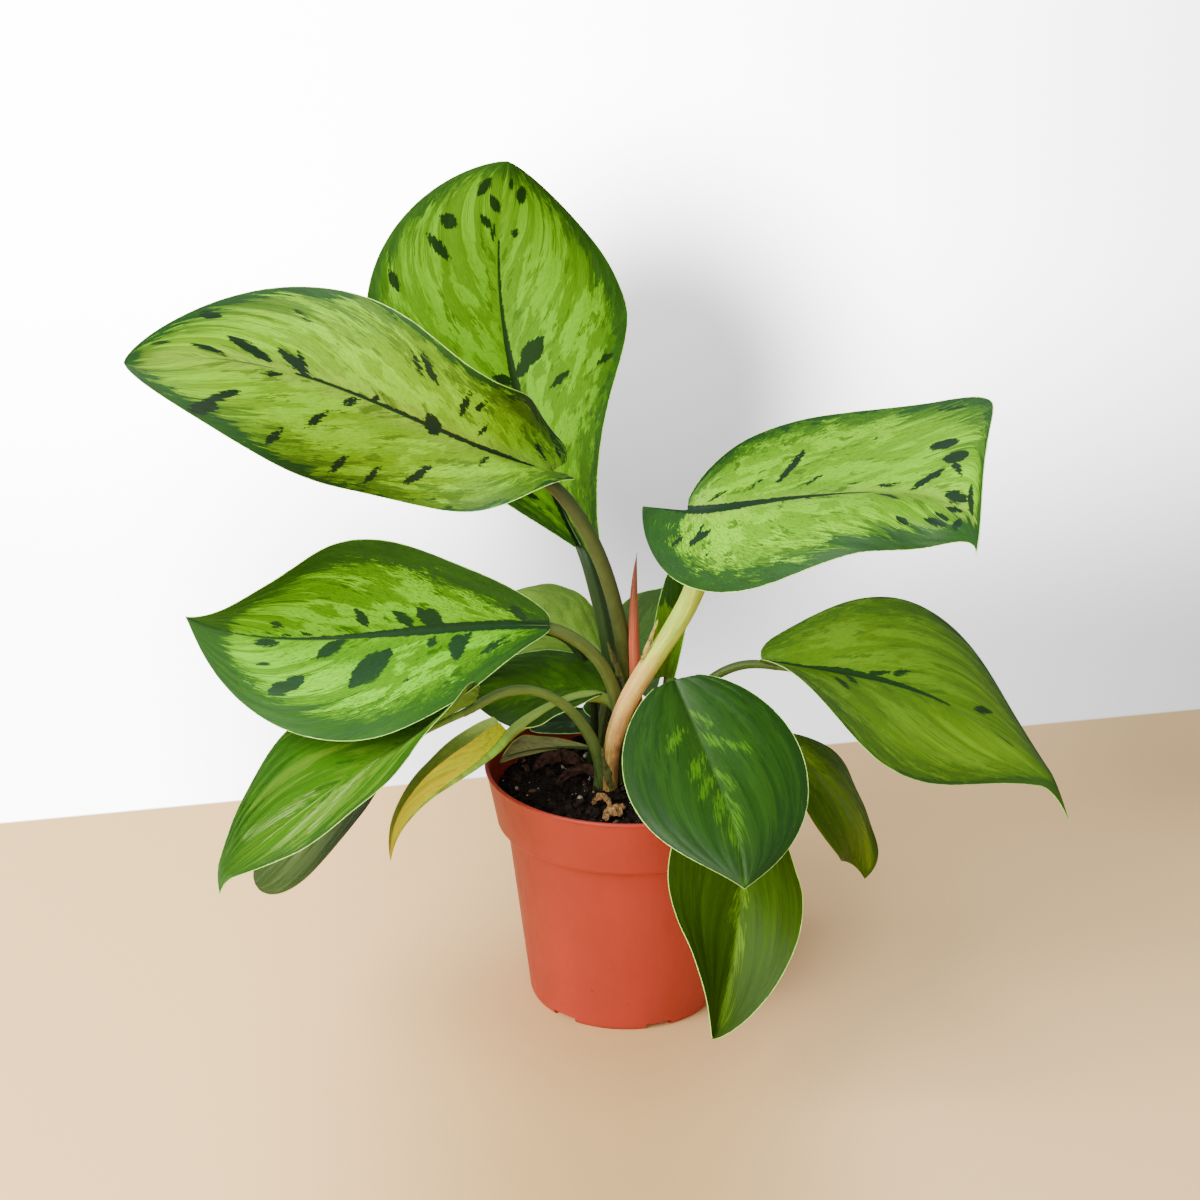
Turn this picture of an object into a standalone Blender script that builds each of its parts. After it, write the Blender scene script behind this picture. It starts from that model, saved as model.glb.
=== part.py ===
"""A potted homalomena: a clump of leaves on long stalks in a 12 cm nursery pot.

The object stands on the plane z = 0 with its origin at the centre of the pot's
underside, +Z up and its front towards -Y. Lengths are in millimetres in this file
and become metres where a mesh is made. Angles are in degrees.
"""
from dataclasses import dataclass

import bpy
import numpy as np

MM = 0.001
GAP = 0.3  # clearance left between two solids that touch

# Pot: a moulded plastic nursery pot with a stepped collar.
RIM_RADIUS = 60.0
POT_HEIGHT = 106.8
COLLAR_FOOT_RADIUS = 55.0
COLLAR_FOOT_HEIGHT = 82.4
BODY_TOP_RADIUS = 50.7
BODY_TOP_HEIGHT = 80.4
BODY_FOOT_RADIUS = 41.3
FOOT_ROUNDING = 4.0  # height of the rounded edge between the body and the underside
UNDERSIDE_RADIUS = 39.8
WALL = 1.5
FLOOR_THICKNESS = 1.8
POT_SIDES = 48
DRAIN_COUNT = 6
DRAIN_FIRST_ANGLE = 51.5  # from +X, turning towards +Y
DRAIN_HALF_WIDTH = 8.0  # angle
DRAIN_HEIGHT = 2.4
DRAIN_INNER_RADIUS = 33.0

# Soil: fills the pot to a little below the rim, slightly mounded.
SOIL_RADIUS = 55.0
SOIL_EDGE_HEIGHT = 94.0
SOIL_MOUND = 2.0

# Resolution of the plant's solids.
BLADE_ROWS = 10
BLADE_COLUMNS = 6
BLADE_THICKNESS = 0.9
STALK_RINGS = 9
STALK_SIDES = 8

LEAF_GREEN = (0.16, 0.35, 0.06)
DARK_GREEN = (0.05, 0.15, 0.03)
YELLOW_LEAF = (0.50, 0.45, 0.08)
DULL_GREEN = (0.25, 0.30, 0.16)
STALK_GREEN = (0.22, 0.30, 0.10)
PALE_STALK = (0.62, 0.58, 0.32)
TERRACOTTA = (0.62, 0.13, 0.06)
SOIL_BROWN = (0.030, 0.017, 0.012)
BUD_CORAL = (0.75, 0.20, 0.12)
DRY_BROWN = (0.33, 0.20, 0.12)


@dataclass
class Leaf:
    """One leaf: a blade on a midrib, and the stalk that carries it.

    midrib      four Bezier points from the blade's base to its tip
    half_width  widest reach of the left and the right half, measured on the surface
    face        azimuth from the front and elevation that the top side looks to
    twist       turn of the blade about its midrib from base to tip
    fold_left, fold_right  rise of each half from flat, at the base and at the tip
    curl        further bend of each half between midrib and margin
    base, point exponents of the outline: a small base is blunt, a large point is drawn out
    shoulder    share of the width already reached at the base
    lobes       how far each half runs back behind the base
    stalk       foot on the soil and two handles of the stalk's Bezier curve
    stalk_radii foot and top
    """

    name: str
    midrib: tuple
    half_width: tuple
    face: tuple
    twist: float
    fold_left: tuple
    fold_right: tuple
    curl: tuple
    base: float
    point: float
    shoulder: float
    lobes: tuple
    stalk: tuple = ()
    stalk_radii: tuple = (2.0, 2.0)
    colour: tuple = LEAF_GREEN
    stalk_colour: tuple = STALK_GREEN


LEAVES = [
    Leaf("upper_left", midrib=((-31, -6, 237), (-84, -23, 259), (-134, -26, 301), (-195, -35, 290)),
         half_width=(38, 37), face=(-73, 28), twist=-16, fold_left=(38, -22), fold_right=(45, -6),
         curl=(-38, 22), base=0.8, point=0.7, shoulder=0.06, lobes=(10, 9),
         stalk=((7, 13, 97), (-2, 7, 161), (-4, -10, 204)), stalk_radii=(3.4, 3.1)),
    Leaf("top", midrib=((-20, 24, 195), (-50, 82, 230), (-66, 115, 280), (-54, 117, 338)),
         half_width=(60, 55), face=(-6, 36), twist=31, fold_left=(45, -2), fold_right=(51, -6),
         curl=(-10, -35), base=1.2, point=0.8, shoulder=0.03, lobes=(0, 27),
         stalk=((-3, 18, 97), (-6, 19, 141), (-9, 17, 164)), stalk_radii=(3.0, 2.8)),
    Leaf("upper_right", midrib=((23, -31, 231), (37, -60, 239), (141, -71, 272), (121, -142, 254)),
         half_width=(65, 44), face=(-130, 25), twist=-57, fold_left=(10, 42), fold_right=(-37, 20),
         curl=(9, -60), base=1.15, point=1.45, shoulder=0.02, lobes=(0, 45),
         stalk=((-7, -3, 97), (-11, -11, 155), (40, -18, 177)), stalk_radii=(4.4, 5.0),
         stalk_colour=PALE_STALK),
    Leaf("mid_left", midrib=((-32, -16, 175), (-90, -28, 181), (-139, -46, 170), (-175, -47, 190)),
         half_width=(46, 46), face=(-21, 21), twist=-23, fold_left=(32, 17), fold_right=(31, 25),
         curl=(1, 18), base=1.2, point=1.25, shoulder=0.02, lobes=(0, 2),
         stalk=((-2, 4, 97), (-2, 1, 135), (-4, -8, 160)), stalk_radii=(2.9, 2.6)),
    Leaf("lower_left", midrib=((-49, -29, 152), (-90, -56, 143), (-127, -81, 124), (-159, -109, 104)),
         half_width=(42, 42), face=(-39, 58), twist=-31, fold_left=(38, 9), fold_right=(27, 9),
         curl=(11, -8), base=0.6, point=1.1, shoulder=0.03, lobes=(7, 7),
         stalk=((-15, 1, 97), (-9, -8, 114), (-29, -20, 157)), stalk_radii=(2.4, 1.9)),
    Leaf("under_left", midrib=((-79, 0, 124), (-102, -26, 114), (-127, -48, 96), (-152, -58, 71)),
         half_width=(35, 34), face=(-67, 43), twist=-13, fold_left=(25, 4), fold_right=(17, 0),
         curl=(1, -21), base=0.7, point=0.5, shoulder=0.03, lobes=(5, 5),
         stalk=((-16, 19, 97), (-4, 27, 164), (-46, 24, 182)), stalk_radii=(1.9, 1.8),
         colour=DARK_GREEN),
    Leaf("yellow", midrib=((-55, -17, 127), (-61, -30, 111), (-92, -35, 108), (-96, -50, 84)),
         half_width=(18, 17), face=(-90, 52), twist=10, fold_left=(55, 58), fold_right=(52, 50),
         curl=(-2, -18), base=0.3, point=1.05, shoulder=0.11, lobes=(0, 7),
         stalk=((-14, 8, 97), (-21, 3, 131), (-32, -13, 127)), stalk_radii=(2.2, 1.9),
         colour=YELLOW_LEAF),
    Leaf("inner_left", midrib=((-17, 2, 135), (-34, 8, 136), (-51, 8, 138), (-64, 0, 135)),
         half_width=(24, 22), face=(-2, 68), twist=-23, fold_left=(26, -6), fold_right=(19, -9),
         curl=(-6, -17), base=0.55, point=0.7, shoulder=0.05, lobes=(0, 3),
         stalk=((-3, 11, 97), (-2, 13, 122), (-3, 5, 136)), stalk_radii=(2.3, 2.2),
         colour=DARK_GREEN),
    Leaf("back_left", midrib=((-10, 33, 142), (-36, 54, 149), (-58, 76, 141), (-77, 99, 126)),
         half_width=(27, 26), face=(-7, 61), twist=-4, fold_left=(16, 8), fold_right=(13, 7),
         curl=(-9, -16), base=0.8, point=0.75, shoulder=0.01, lobes=(5, 0),
         stalk=((-12, 27, 97), (-12, 27, 119), (-3, 29, 139)), stalk_radii=(2.2, 2.0)),
    Leaf("back_right", midrib=((-2, 24, 141), (2, 49, 143), (16, 70, 146), (32, 88, 163)),
         half_width=(22, 22), face=(21, 8), twist=8, fold_left=(17, 13), fold_right=(15, 7),
         curl=(-4, -15), base=0.5, point=1.5, shoulder=0.04, lobes=(4, 4),
         stalk=((5, 24, 97), (5, 24, 117), (-1, 21, 134)), stalk_radii=(2.0, 1.8),
         colour=DARK_GREEN),
    Leaf("back_upright", midrib=((17, 23, 136), (20, 21, 165), (25, 28, 184), (28, 44, 193)),
         half_width=(6, 5), face=(-6, 11), twist=2, fold_left=(19, 10), fold_right=(21, 11),
         curl=(-8, -5), base=0.9, point=0.6, shoulder=0.09, lobes=(1, 1),
         stalk=((13, 22, 97), (13, 22, 110), (16, 23, 122)), stalk_radii=(1.8, 1.6)),
    Leaf("tiny_back", midrib=((-6, 34, 112), (-13, 36, 115), (-17, 40, 116), (-19, 44, 113)),
         half_width=(6, 6), face=(-10, 57), twist=3, fold_left=(16, 12), fold_right=(17, 11),
         curl=(-9, -8), base=0.5, point=1.1, shoulder=0.04, lobes=(1, 1),
         stalk=((-2, 33, 97), (-2, 33, 101), (-3, 33, 106)), stalk_radii=(1.3, 1.1),
         colour=DARK_GREEN),
    Leaf("front_right", midrib=((19, -41, 162), (36, -83, 135), (45, -115, 130), (45, -123, 112)),
         half_width=(36, 35), face=(9, 45), twist=-7, fold_left=(17, -2), fold_right=(15, -1),
         curl=(-16, -22), base=0.6, point=1.05, shoulder=0.02, lobes=(2, 2),
         stalk=((11, 3, 97), (15, -6, 125), (17, -26, 158)), stalk_radii=(2.6, 2.3),
         colour=DARK_GREEN),
    Leaf("front_low", midrib=((47, -69, 123), (47, -64, 84), (47, -78, 60), (35, -106, 36)),
         half_width=(32, 35), face=(3, 19), twist=-41, fold_left=(34, 29), fold_right=(26, 34),
         curl=(17, 7), base=0.4, point=0.75, shoulder=0.03, lobes=(6, 1),
         stalk=((15, -14, 97), (15, -26, 129), (46, -56, 152)), stalk_radii=(2.3, 2.0),
         colour=DARK_GREEN),
    Leaf("right_small", midrib=((70, 20, 108), (92, 9, 87), (108, 16, 70), (105, 17, 43)),
         half_width=(22, 22), face=(4, 73), twist=-5, fold_left=(12, -14), fold_right=(12, -10),
         curl=(-26, -19), base=0.8, point=1.0, shoulder=0.01, lobes=(3, 3),
         stalk=((24, 6, 97), (24, 8, 120), (56, 22, 120)), stalk_radii=(1.8, 1.5)),
    Leaf("right", midrib=((56, 6, 151), (99, -5, 148), (136, -20, 156), (182, -29, 107)),
         half_width=(52, 52), face=(15, 70), twist=14, fold_left=(35, -28), fold_right=(41, -28),
         curl=(-13, -4), base=1.2, point=1.35, shoulder=0.02, lobes=(5, 0),
         stalk=((16, 12, 97), (17, 11, 125), (35, 9, 150)), stalk_radii=(2.2, 1.9)),
    Leaf("tucked", midrib=((-14, 40, 105), (-24, 43, 107), (-34, 41, 107), (-42, 34, 105)),
         half_width=(7, 7), face=(0, 50), twist=0, fold_left=(20, 10), fold_right=(20, 10),
         curl=(-8, -8), base=0.5, point=0.6, shoulder=0.04, lobes=(1, 1),
         stalk=((-7, 28, 97), (-7, 29, 101), (-10, 33, 102)), stalk_radii=(1.3, 1.1),
         colour=DARK_GREEN),
    Leaf("fallen", midrib=((-17, 32, 98.5), (-30, 30, 101), (-44, 22, 103), (-52.5, 9, 104)),
         half_width=(7.5, 7), face=(170, 15), twist=0, fold_left=(6, 4), fold_right=(6, 4),
         curl=(-10, -10), base=0.9, point=0.3, shoulder=0.05, lobes=(0, 0),
         colour=DULL_GREEN),
]

# The rolled new leaf: foot, two handles and tip of its centre line.
BUD_LINE = ((6, -1, 97), (5, -1, 135), (0.5, 0, 171), (3.5, 3, 200))
BUD_RADIUS = 2.3

# Dry scraps lying on the soil: the ends of each curl, and its half width.
DRY_SHEATH_LINE = ((-9, -36, 97), (-7, -31, 100), (-2, -31, 101), (-1, -24, 98))
DRY_STRIP_LINE = ((-40, 11, 97), (-33, 17, 103), (-26, 20, 103), (-19, 13, 97))
DRY_HALF_WIDTH = 3.0


def unit(vectors):
    return vectors / np.linalg.norm(vectors, axis=-1, keepdims=True)


def bezier(points, t):
    """Points of the cubic Bezier curve at the parameters t."""
    a, b, c, d = np.array(points, float)
    t = np.asarray(t, float)[..., None]
    s = 1 - t
    return s**3 * a + 3 * s * s * t * b + 3 * s * t * t * c + t**3 * d


def bezier_heading(points, t):
    """Unit tangents of the cubic Bezier curve at the parameters t."""
    a, b, c, d = np.array(points, float)
    t = np.asarray(t, float)[..., None]
    s = 1 - t
    return unit(s * s * (b - a) + 2 * s * t * (c - b) + t * t * (d - c))


def soil_height(x, y):
    """The soil's surface: a low cosine mound about the pot's axis."""
    distance = np.minimum(np.hypot(x, y) / SOIL_RADIUS, 1)
    return SOIL_EDGE_HEIGHT + SOIL_MOUND * np.cos(distance * np.pi / 2)


def blade_frame(leaf, u):
    """Point, heading, side and normal of the midrib at the shares u of its length."""
    point = bezier(leaf.midrib, u)
    heading = bezier_heading(leaf.midrib, u)
    azimuth, elevation = np.radians(leaf.face)
    level = np.cos(elevation)
    look = np.array([level * np.sin(azimuth), -level * np.cos(azimuth), np.sin(elevation)])
    normal = unit(look - (heading @ look)[..., None] * heading)
    side = np.cross(heading, normal)
    turn = np.radians(leaf.twist * (u - 0.5))[..., None]
    turned_normal = normal * np.cos(turn) + side * np.sin(turn)
    turned_side = side * np.cos(turn) - normal * np.sin(turn)
    return point, heading, turned_side, turned_normal


def outline_share(leaf, u):
    """Half width at u as a share of the widest: (u + shoulder)^base (1 - u)^point, scaled to 1."""
    peak = (leaf.base - leaf.point * leaf.shoulder) / (leaf.base + leaf.point)
    highest = (peak + leaf.shoulder)**leaf.base * (1 - peak)**leaf.point
    return (u + leaf.shoulder)**leaf.base * (1 - u)**leaf.point / highest


def blade_surface(leaf, u, v):
    """Points of the blade: u runs along the midrib, v from the left margin (-1) to the right (1).

    Each half is an arc that leaves the midrib at its fold angle and bends by its curl,
    and near the base it also runs back to form the lobe.
    """
    u, v = np.broadcast_arrays(np.asarray(u, float), np.asarray(v, float))
    point, heading, side, normal = blade_frame(leaf, u)
    right = v > 0
    reach = np.abs(v)
    width = np.where(right, leaf.half_width[1], leaf.half_width[0]) * outline_share(leaf, u)
    fold_left = leaf.fold_left[0] + (leaf.fold_left[1] - leaf.fold_left[0]) * u
    fold_right = leaf.fold_right[0] + (leaf.fold_right[1] - leaf.fold_right[0]) * u
    fold = np.radians(np.where(right, fold_right, fold_left))
    curl = np.radians(np.where(right, leaf.curl[1], leaf.curl[0]))
    across = width / curl * (np.sin(fold + curl * reach) - np.sin(fold)) * np.sign(v)
    lift = width / curl * (np.cos(fold) - np.cos(fold + curl * reach))
    lobe = np.where(right, leaf.lobes[1], leaf.lobes[0])
    back = lobe * (1 - u)**4 * (1 - np.cos(np.pi * reach)) / 2
    return point + side * across[..., None] + normal * lift[..., None] - heading * back[..., None]


def new_material(name, colour, roughness):
    material = bpy.data.materials.new(name)
    material.use_nodes = True
    shader = material.node_tree.nodes["Principled BSDF"]
    shader.inputs["Base Color"].default_value = (*colour, 1.0)
    shader.inputs["Roughness"].default_value = roughness
    shader.inputs["Metallic"].default_value = 0.0
    return material


def add_solid(name, points, faces, colour, roughness):
    """Makes an object from points in millimetres, smooth-shaded, with its own material."""
    mesh = bpy.data.meshes.new(name)
    mesh.from_pydata((np.asarray(points) * MM).tolist(), [], faces)
    mesh.shade_smooth()
    mesh.materials.append(new_material(name, colour, roughness))
    solid = bpy.data.objects.new(name, mesh)
    bpy.context.scene.collection.objects.link(solid)
    return solid


def sheet_faces(rows, columns, tip):
    """Faces of the top, the underside and the rim of a sheet whose last row is one tip point.

    Point (row, column) of the top has the index row * columns + column, and the
    underside follows the top. The tip is the last point of all. Both sides are split
    into the same triangles, so that they stay parallel where the sheet is twisted.
    """
    under = rows * columns
    middle = (columns - 1) / 2
    triangles = []
    for i in range(rows - 1):
        for j in range(columns - 1):
            a = i * columns + j
            b, c, d = a + 1, a + columns + 1, a + columns
            if j < middle:
                triangles += [(a, b, d), (b, c, d)]
            else:
                triangles += [(a, b, c), (a, c, d)]
    faces = []
    for triangle in triangles:
        faces.append(list(triangle))
        faces.append([under + k for k in reversed(triangle)])
    last = (rows - 1) * columns
    for j in range(columns - 1):
        faces.append([last + j, last + j + 1, tip])
        faces.append([under + last + j + 1, under + last + j, tip])
        faces.append([j + 1, j, under + j, under + j + 1])
    for i in range(rows - 1):
        left = i * columns
        right = left + columns - 1
        faces.append([left, left + columns, under + left + columns, under + left])
        faces.append([right + columns, right, under + right, under + right + columns])
    faces.append([last, tip, under + last])
    faces.append([tip, last + columns - 1, under + last + columns - 1])
    return faces


def add_sheet(name, surface, rows, columns, thickness, colour):
    """A thin closed leaf-like solid over surface(u, v), pointed at u = 1."""
    u = (np.arange(rows) / rows)[:, None]
    v = np.linspace(-1, 1, columns)[None, :]
    v = np.where(np.abs(v) < 1e-9, 1e-6, v)
    step = 1e-4
    middle = surface(u, v)
    along = surface(u + step, v) - middle
    across = surface(u, np.where(v > 0, v - step, v + step)) - middle
    across = across * np.where(v > 0, -1, 1)[..., None]
    normal = unit(np.cross(across, along))
    crease = columns // 2
    normal[:, crease] = unit(normal[:, crease - 1] + normal[:, crease + 1])
    top = (middle + normal * thickness / 2).reshape(-1, 3)
    bottom = (middle - normal * thickness / 2).reshape(-1, 3)
    tip = surface(np.array([1.0]), np.array([1e-6]))
    points = np.concatenate([top, bottom, tip])
    return add_solid(name, points, sheet_faces(rows, columns, 2 * rows * columns), colour, 0.45)


def add_tube(name, line, radii, sides, colour, floor=None):
    """A round solid along line, a list of centre points, with a radius at each of them.

    Its rings are turned out from the plane in which the line bends least. Where floor
    is given, the first ring is cut level with it.
    """
    line = np.asarray(line, float)
    heading = unit(np.gradient(line, axis=0))
    flattest = np.linalg.svd(line - line.mean(0))[2][-1]
    first = unit(np.cross(heading, flattest))
    second = np.cross(heading, first)
    angle = np.arange(sides) * 2 * np.pi / sides
    ring = (first[:, None] * np.cos(angle)[:, None] + second[:, None] * np.sin(angle)[:, None])
    points = line[:, None] + ring * np.asarray(radii, float)[:, None, None]
    if floor is not None:
        points[0, :, 2] = floor
    count = len(line)
    faces = [list(range(sides))[::-1], [(count - 1) * sides + k for k in range(sides)]]
    for i in range(count - 1):
        for k in range(sides):
            a = i * sides + k
            b = i * sides + (k + 1) % sides
            faces.append([a, b, b + sides, a + sides])
    return add_solid(name, points.reshape(-1, 3), faces, colour, 0.5)


def add_blade(leaf):
    add_sheet("leaf_" + leaf.name, lambda u, v: blade_surface(leaf, u, v),
              BLADE_ROWS, BLADE_COLUMNS + 1, BLADE_THICKNESS, leaf.colour)


def add_stalk(leaf):
    """The stalk runs from the soil to just under the base of its blade."""
    foot_radius, top_radius = leaf.stalk_radii
    point, heading, _, normal = blade_frame(leaf, np.array([0.0]))
    clear = top_radius + BLADE_THICKNESS / 2 + 2 * GAP
    top = point[0] - normal[0] * clear - heading[0] * GAP
    foot = np.array(leaf.stalk[0], float)
    foot[2] = soil_height(foot[0], foot[1]) + GAP
    t = np.linspace(0, 1, STALK_RINGS)
    line = bezier((foot, leaf.stalk[1], leaf.stalk[2], top), t)
    radii = foot_radius + (top_radius - foot_radius) * t
    add_tube("stalk_" + leaf.name, line, radii, STALK_SIDES, leaf.stalk_colour, floor=foot[2])


def add_bud():
    """The rolled new leaf, a spindle that thins to a point."""
    t = np.linspace(0, 1, STALK_RINGS)
    line = bezier(BUD_LINE, t)
    line[0, 2] = soil_height(line[0, 0], line[0, 1]) + GAP
    radii = BUD_RADIUS * np.clip(1.02 - t**5, 0.1, 1)
    add_tube("bud", line, radii, STALK_SIDES, BUD_CORAL, floor=line[0, 2])


def add_dry_scrap(name, ends):
    """A dry curled scrap, a flattened tube pinched at both ends, lying on the soil."""
    t = np.linspace(0, 1, 6)
    line = bezier(ends, t)
    radii = DRY_HALF_WIDTH * (0.35 + 0.65 * np.sin(np.pi * t))
    line[:, 2] = np.maximum(line[:, 2], soil_height(line[:, 0], line[:, 1]) + radii + GAP)
    add_tube(name, line, radii, 6, DRY_BROWN)


def turned(profile, sides):
    """Points and faces of the solid that the profile, (radius, height) pairs, sweeps.

    The profile starts and ends on the axis and runs with the solid on its left.
    """
    angle = np.arange(sides) * 2 * np.pi / sides
    points = [(0.0, 0.0, profile[0][1])]
    for radius, height in profile[1:-1]:
        points += [(radius * np.cos(a), radius * np.sin(a), height) for a in angle]
    points.append((0.0, 0.0, profile[-1][1]))
    rings = len(profile) - 2
    last = len(points) - 1
    faces = []
    for k in range(sides):
        after = (k + 1) % sides
        faces.append([0, 1 + after, 1 + k])
        top = 1 + (rings - 1) * sides
        faces.append([last, top + k, top + after])
        for i in range(rings - 1):
            a = 1 + i * sides
            faces.append([a + k, a + after, a + sides + after, a + sides + k])
    return points, faces


def inner_wall():
    """The pot's inner wall from its floor to its mouth, as (radius, height) pairs."""
    return [(UNDERSIDE_RADIUS - WALL - 2.0, FLOOR_THICKNESS),
            (BODY_FOOT_RADIUS - WALL, FOOT_ROUNDING),
            (BODY_TOP_RADIUS - WALL, BODY_TOP_HEIGHT + WALL),
            (COLLAR_FOOT_RADIUS - WALL, COLLAR_FOOT_HEIGHT + WALL),
            (RIM_RADIUS - WALL - 0.3, POT_HEIGHT)]


def pot_profile():
    """Outer and inner walls of the pot as one line from the underside to the inner floor."""
    turn = np.radians(np.linspace(0, 90, 4))
    bulge = BODY_FOOT_RADIUS - UNDERSIDE_RADIUS
    rounding = [(UNDERSIDE_RADIUS + bulge * np.sin(a), FOOT_ROUNDING * (1 - np.cos(a))) for a in turn]
    outside = [(BODY_TOP_RADIUS, BODY_TOP_HEIGHT),
               (COLLAR_FOOT_RADIUS - 0.9, COLLAR_FOOT_HEIGHT - 0.9),
               (COLLAR_FOOT_RADIUS, COLLAR_FOOT_HEIGHT),
               (RIM_RADIUS - 0.3, POT_HEIGHT - 1.8),
               (RIM_RADIUS, POT_HEIGHT - 1.2),
               (RIM_RADIUS - 0.3, POT_HEIGHT)]
    inside = inner_wall()[::-1] + [(0, FLOOR_THICKNESS)]
    return [(0, 0), (DRAIN_INNER_RADIUS - 1.0, 0)] + rounding + outside + inside


def add_drain_cutter():
    """Wedge blocks that notch the pot's bottom edge, one for each drain."""
    far = BODY_FOOT_RADIUS + 4
    points = []
    faces = []
    for k in range(DRAIN_COUNT):
        middle = DRAIN_FIRST_ANGLE + k * 360 / DRAIN_COUNT
        start = len(points)
        for height in (-1.0, DRAIN_HEIGHT):
            for radius, side in ((DRAIN_INNER_RADIUS, -1), (far, -1), (far, 1),
                                 (DRAIN_INNER_RADIUS, 1)):
                a = np.radians(middle + side * DRAIN_HALF_WIDTH)
                points.append((radius * np.cos(a), radius * np.sin(a), height))
        sides = [[3, 2, 1, 0], [4, 5, 6, 7], [0, 1, 5, 4], [1, 2, 6, 5], [2, 3, 7, 6], [3, 0, 4, 7]]
        faces += [[start + n for n in side] for side in sides]
    cutter = add_solid("drain_cutter", points, faces, TERRACOTTA, 0.5)
    cutter.hide_render = True
    cutter.display_type = "WIRE"
    return cutter


def add_pot():
    points, faces = turned(pot_profile(), POT_SIDES)
    pot = add_solid("pot", points, faces, TERRACOTTA, 0.5)
    cut = pot.modifiers.new("drains", "BOOLEAN")
    cut.operation = "DIFFERENCE"
    cut.object = add_drain_cutter()


def add_soil():
    """The soil fills the pot, clear of its wall, and is mounded a little at the middle."""
    clearance = 0.5
    floor = FLOOR_THICKNESS + GAP
    wall = [(radius - clearance, max(height, floor)) for radius, height in inner_wall()[:-1]]
    surface = [(radius, float(soil_height(radius, 0))) for radius in (SOIL_RADIUS, 42.0, 28.0, 14.0)]
    profile = [(0, floor)] + wall + surface + [(0, float(soil_height(0, 0)))]
    points, faces = turned(profile, POT_SIDES)
    add_solid("soil", points, faces, SOIL_BROWN, 0.95)


def clear_scene():
    for obj in list(bpy.data.objects):
        bpy.data.objects.remove(obj, do_unlink=True)


def main():
    clear_scene()
    add_pot()
    add_soil()
    for leaf in LEAVES:
        add_blade(leaf)
        if leaf.stalk:
            add_stalk(leaf)
    add_bud()
    add_dry_scrap("dry_sheath", DRY_SHEATH_LINE)
    add_dry_scrap("dry_strip", DRY_STRIP_LINE)


main()
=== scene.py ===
from dataclasses import dataclass, replace
from functools import reduce

import bpy
import numpy as np
from mathutils import Matrix, Vector


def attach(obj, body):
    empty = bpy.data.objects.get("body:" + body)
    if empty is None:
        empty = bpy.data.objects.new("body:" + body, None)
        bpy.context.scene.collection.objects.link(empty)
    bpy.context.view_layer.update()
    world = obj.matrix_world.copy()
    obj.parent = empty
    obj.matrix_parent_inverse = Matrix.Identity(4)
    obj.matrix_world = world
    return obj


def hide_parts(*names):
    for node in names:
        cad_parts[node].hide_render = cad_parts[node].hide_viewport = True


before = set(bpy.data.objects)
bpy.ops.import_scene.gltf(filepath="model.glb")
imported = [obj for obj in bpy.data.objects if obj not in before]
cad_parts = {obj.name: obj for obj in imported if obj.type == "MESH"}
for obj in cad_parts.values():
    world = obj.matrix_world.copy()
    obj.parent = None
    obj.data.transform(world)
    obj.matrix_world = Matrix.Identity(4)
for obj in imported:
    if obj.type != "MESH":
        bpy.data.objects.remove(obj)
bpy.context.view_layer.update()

MM = 0.001

# Pot, as in the solid: a moulded nursery pot with a stepped collar and drain notches.
RIM_RADIUS = 60.0
POT_HEIGHT = 106.8
LIP_RADIUS = 0.9
COLLAR_FOOT_RADIUS = 55.0
COLLAR_FOOT_HEIGHT = 82.4
BODY_TOP_RADIUS = 50.7
BODY_TOP_HEIGHT = 80.4
BODY_FOOT_RADIUS = 41.3
FOOT_ROUNDING = 4.0
UNDERSIDE_RADIUS = 39.8
WALL = 1.5
FLOOR_THICKNESS = 1.8
DRAIN_COUNT = 6
DRAIN_FIRST_ANGLE = 51.5
DRAIN_HALF_WIDTH = 8.0
DRAIN_HEIGHT = 2.4
DRAIN_INNER_RADIUS = 33.0

# Soil: its surface is a low mound that meets the pot's inner wall.
SOIL_RADIUS = 55.0
SOIL_EDGE_HEIGHT = 94.0
SOIL_MOUND = 2.0

# Camera, placed in metres: a 75 mm lens above the leaves that looks down at the pot.
CAMERA_PLACE = (0.0, -0.960, 0.559)
CAMERA_YAW = -0.69
CAMERA_DIP = 21.54
CAMERA_ROLL = 0.31
LENS = 75.0
SENSOR = 36.0


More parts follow.
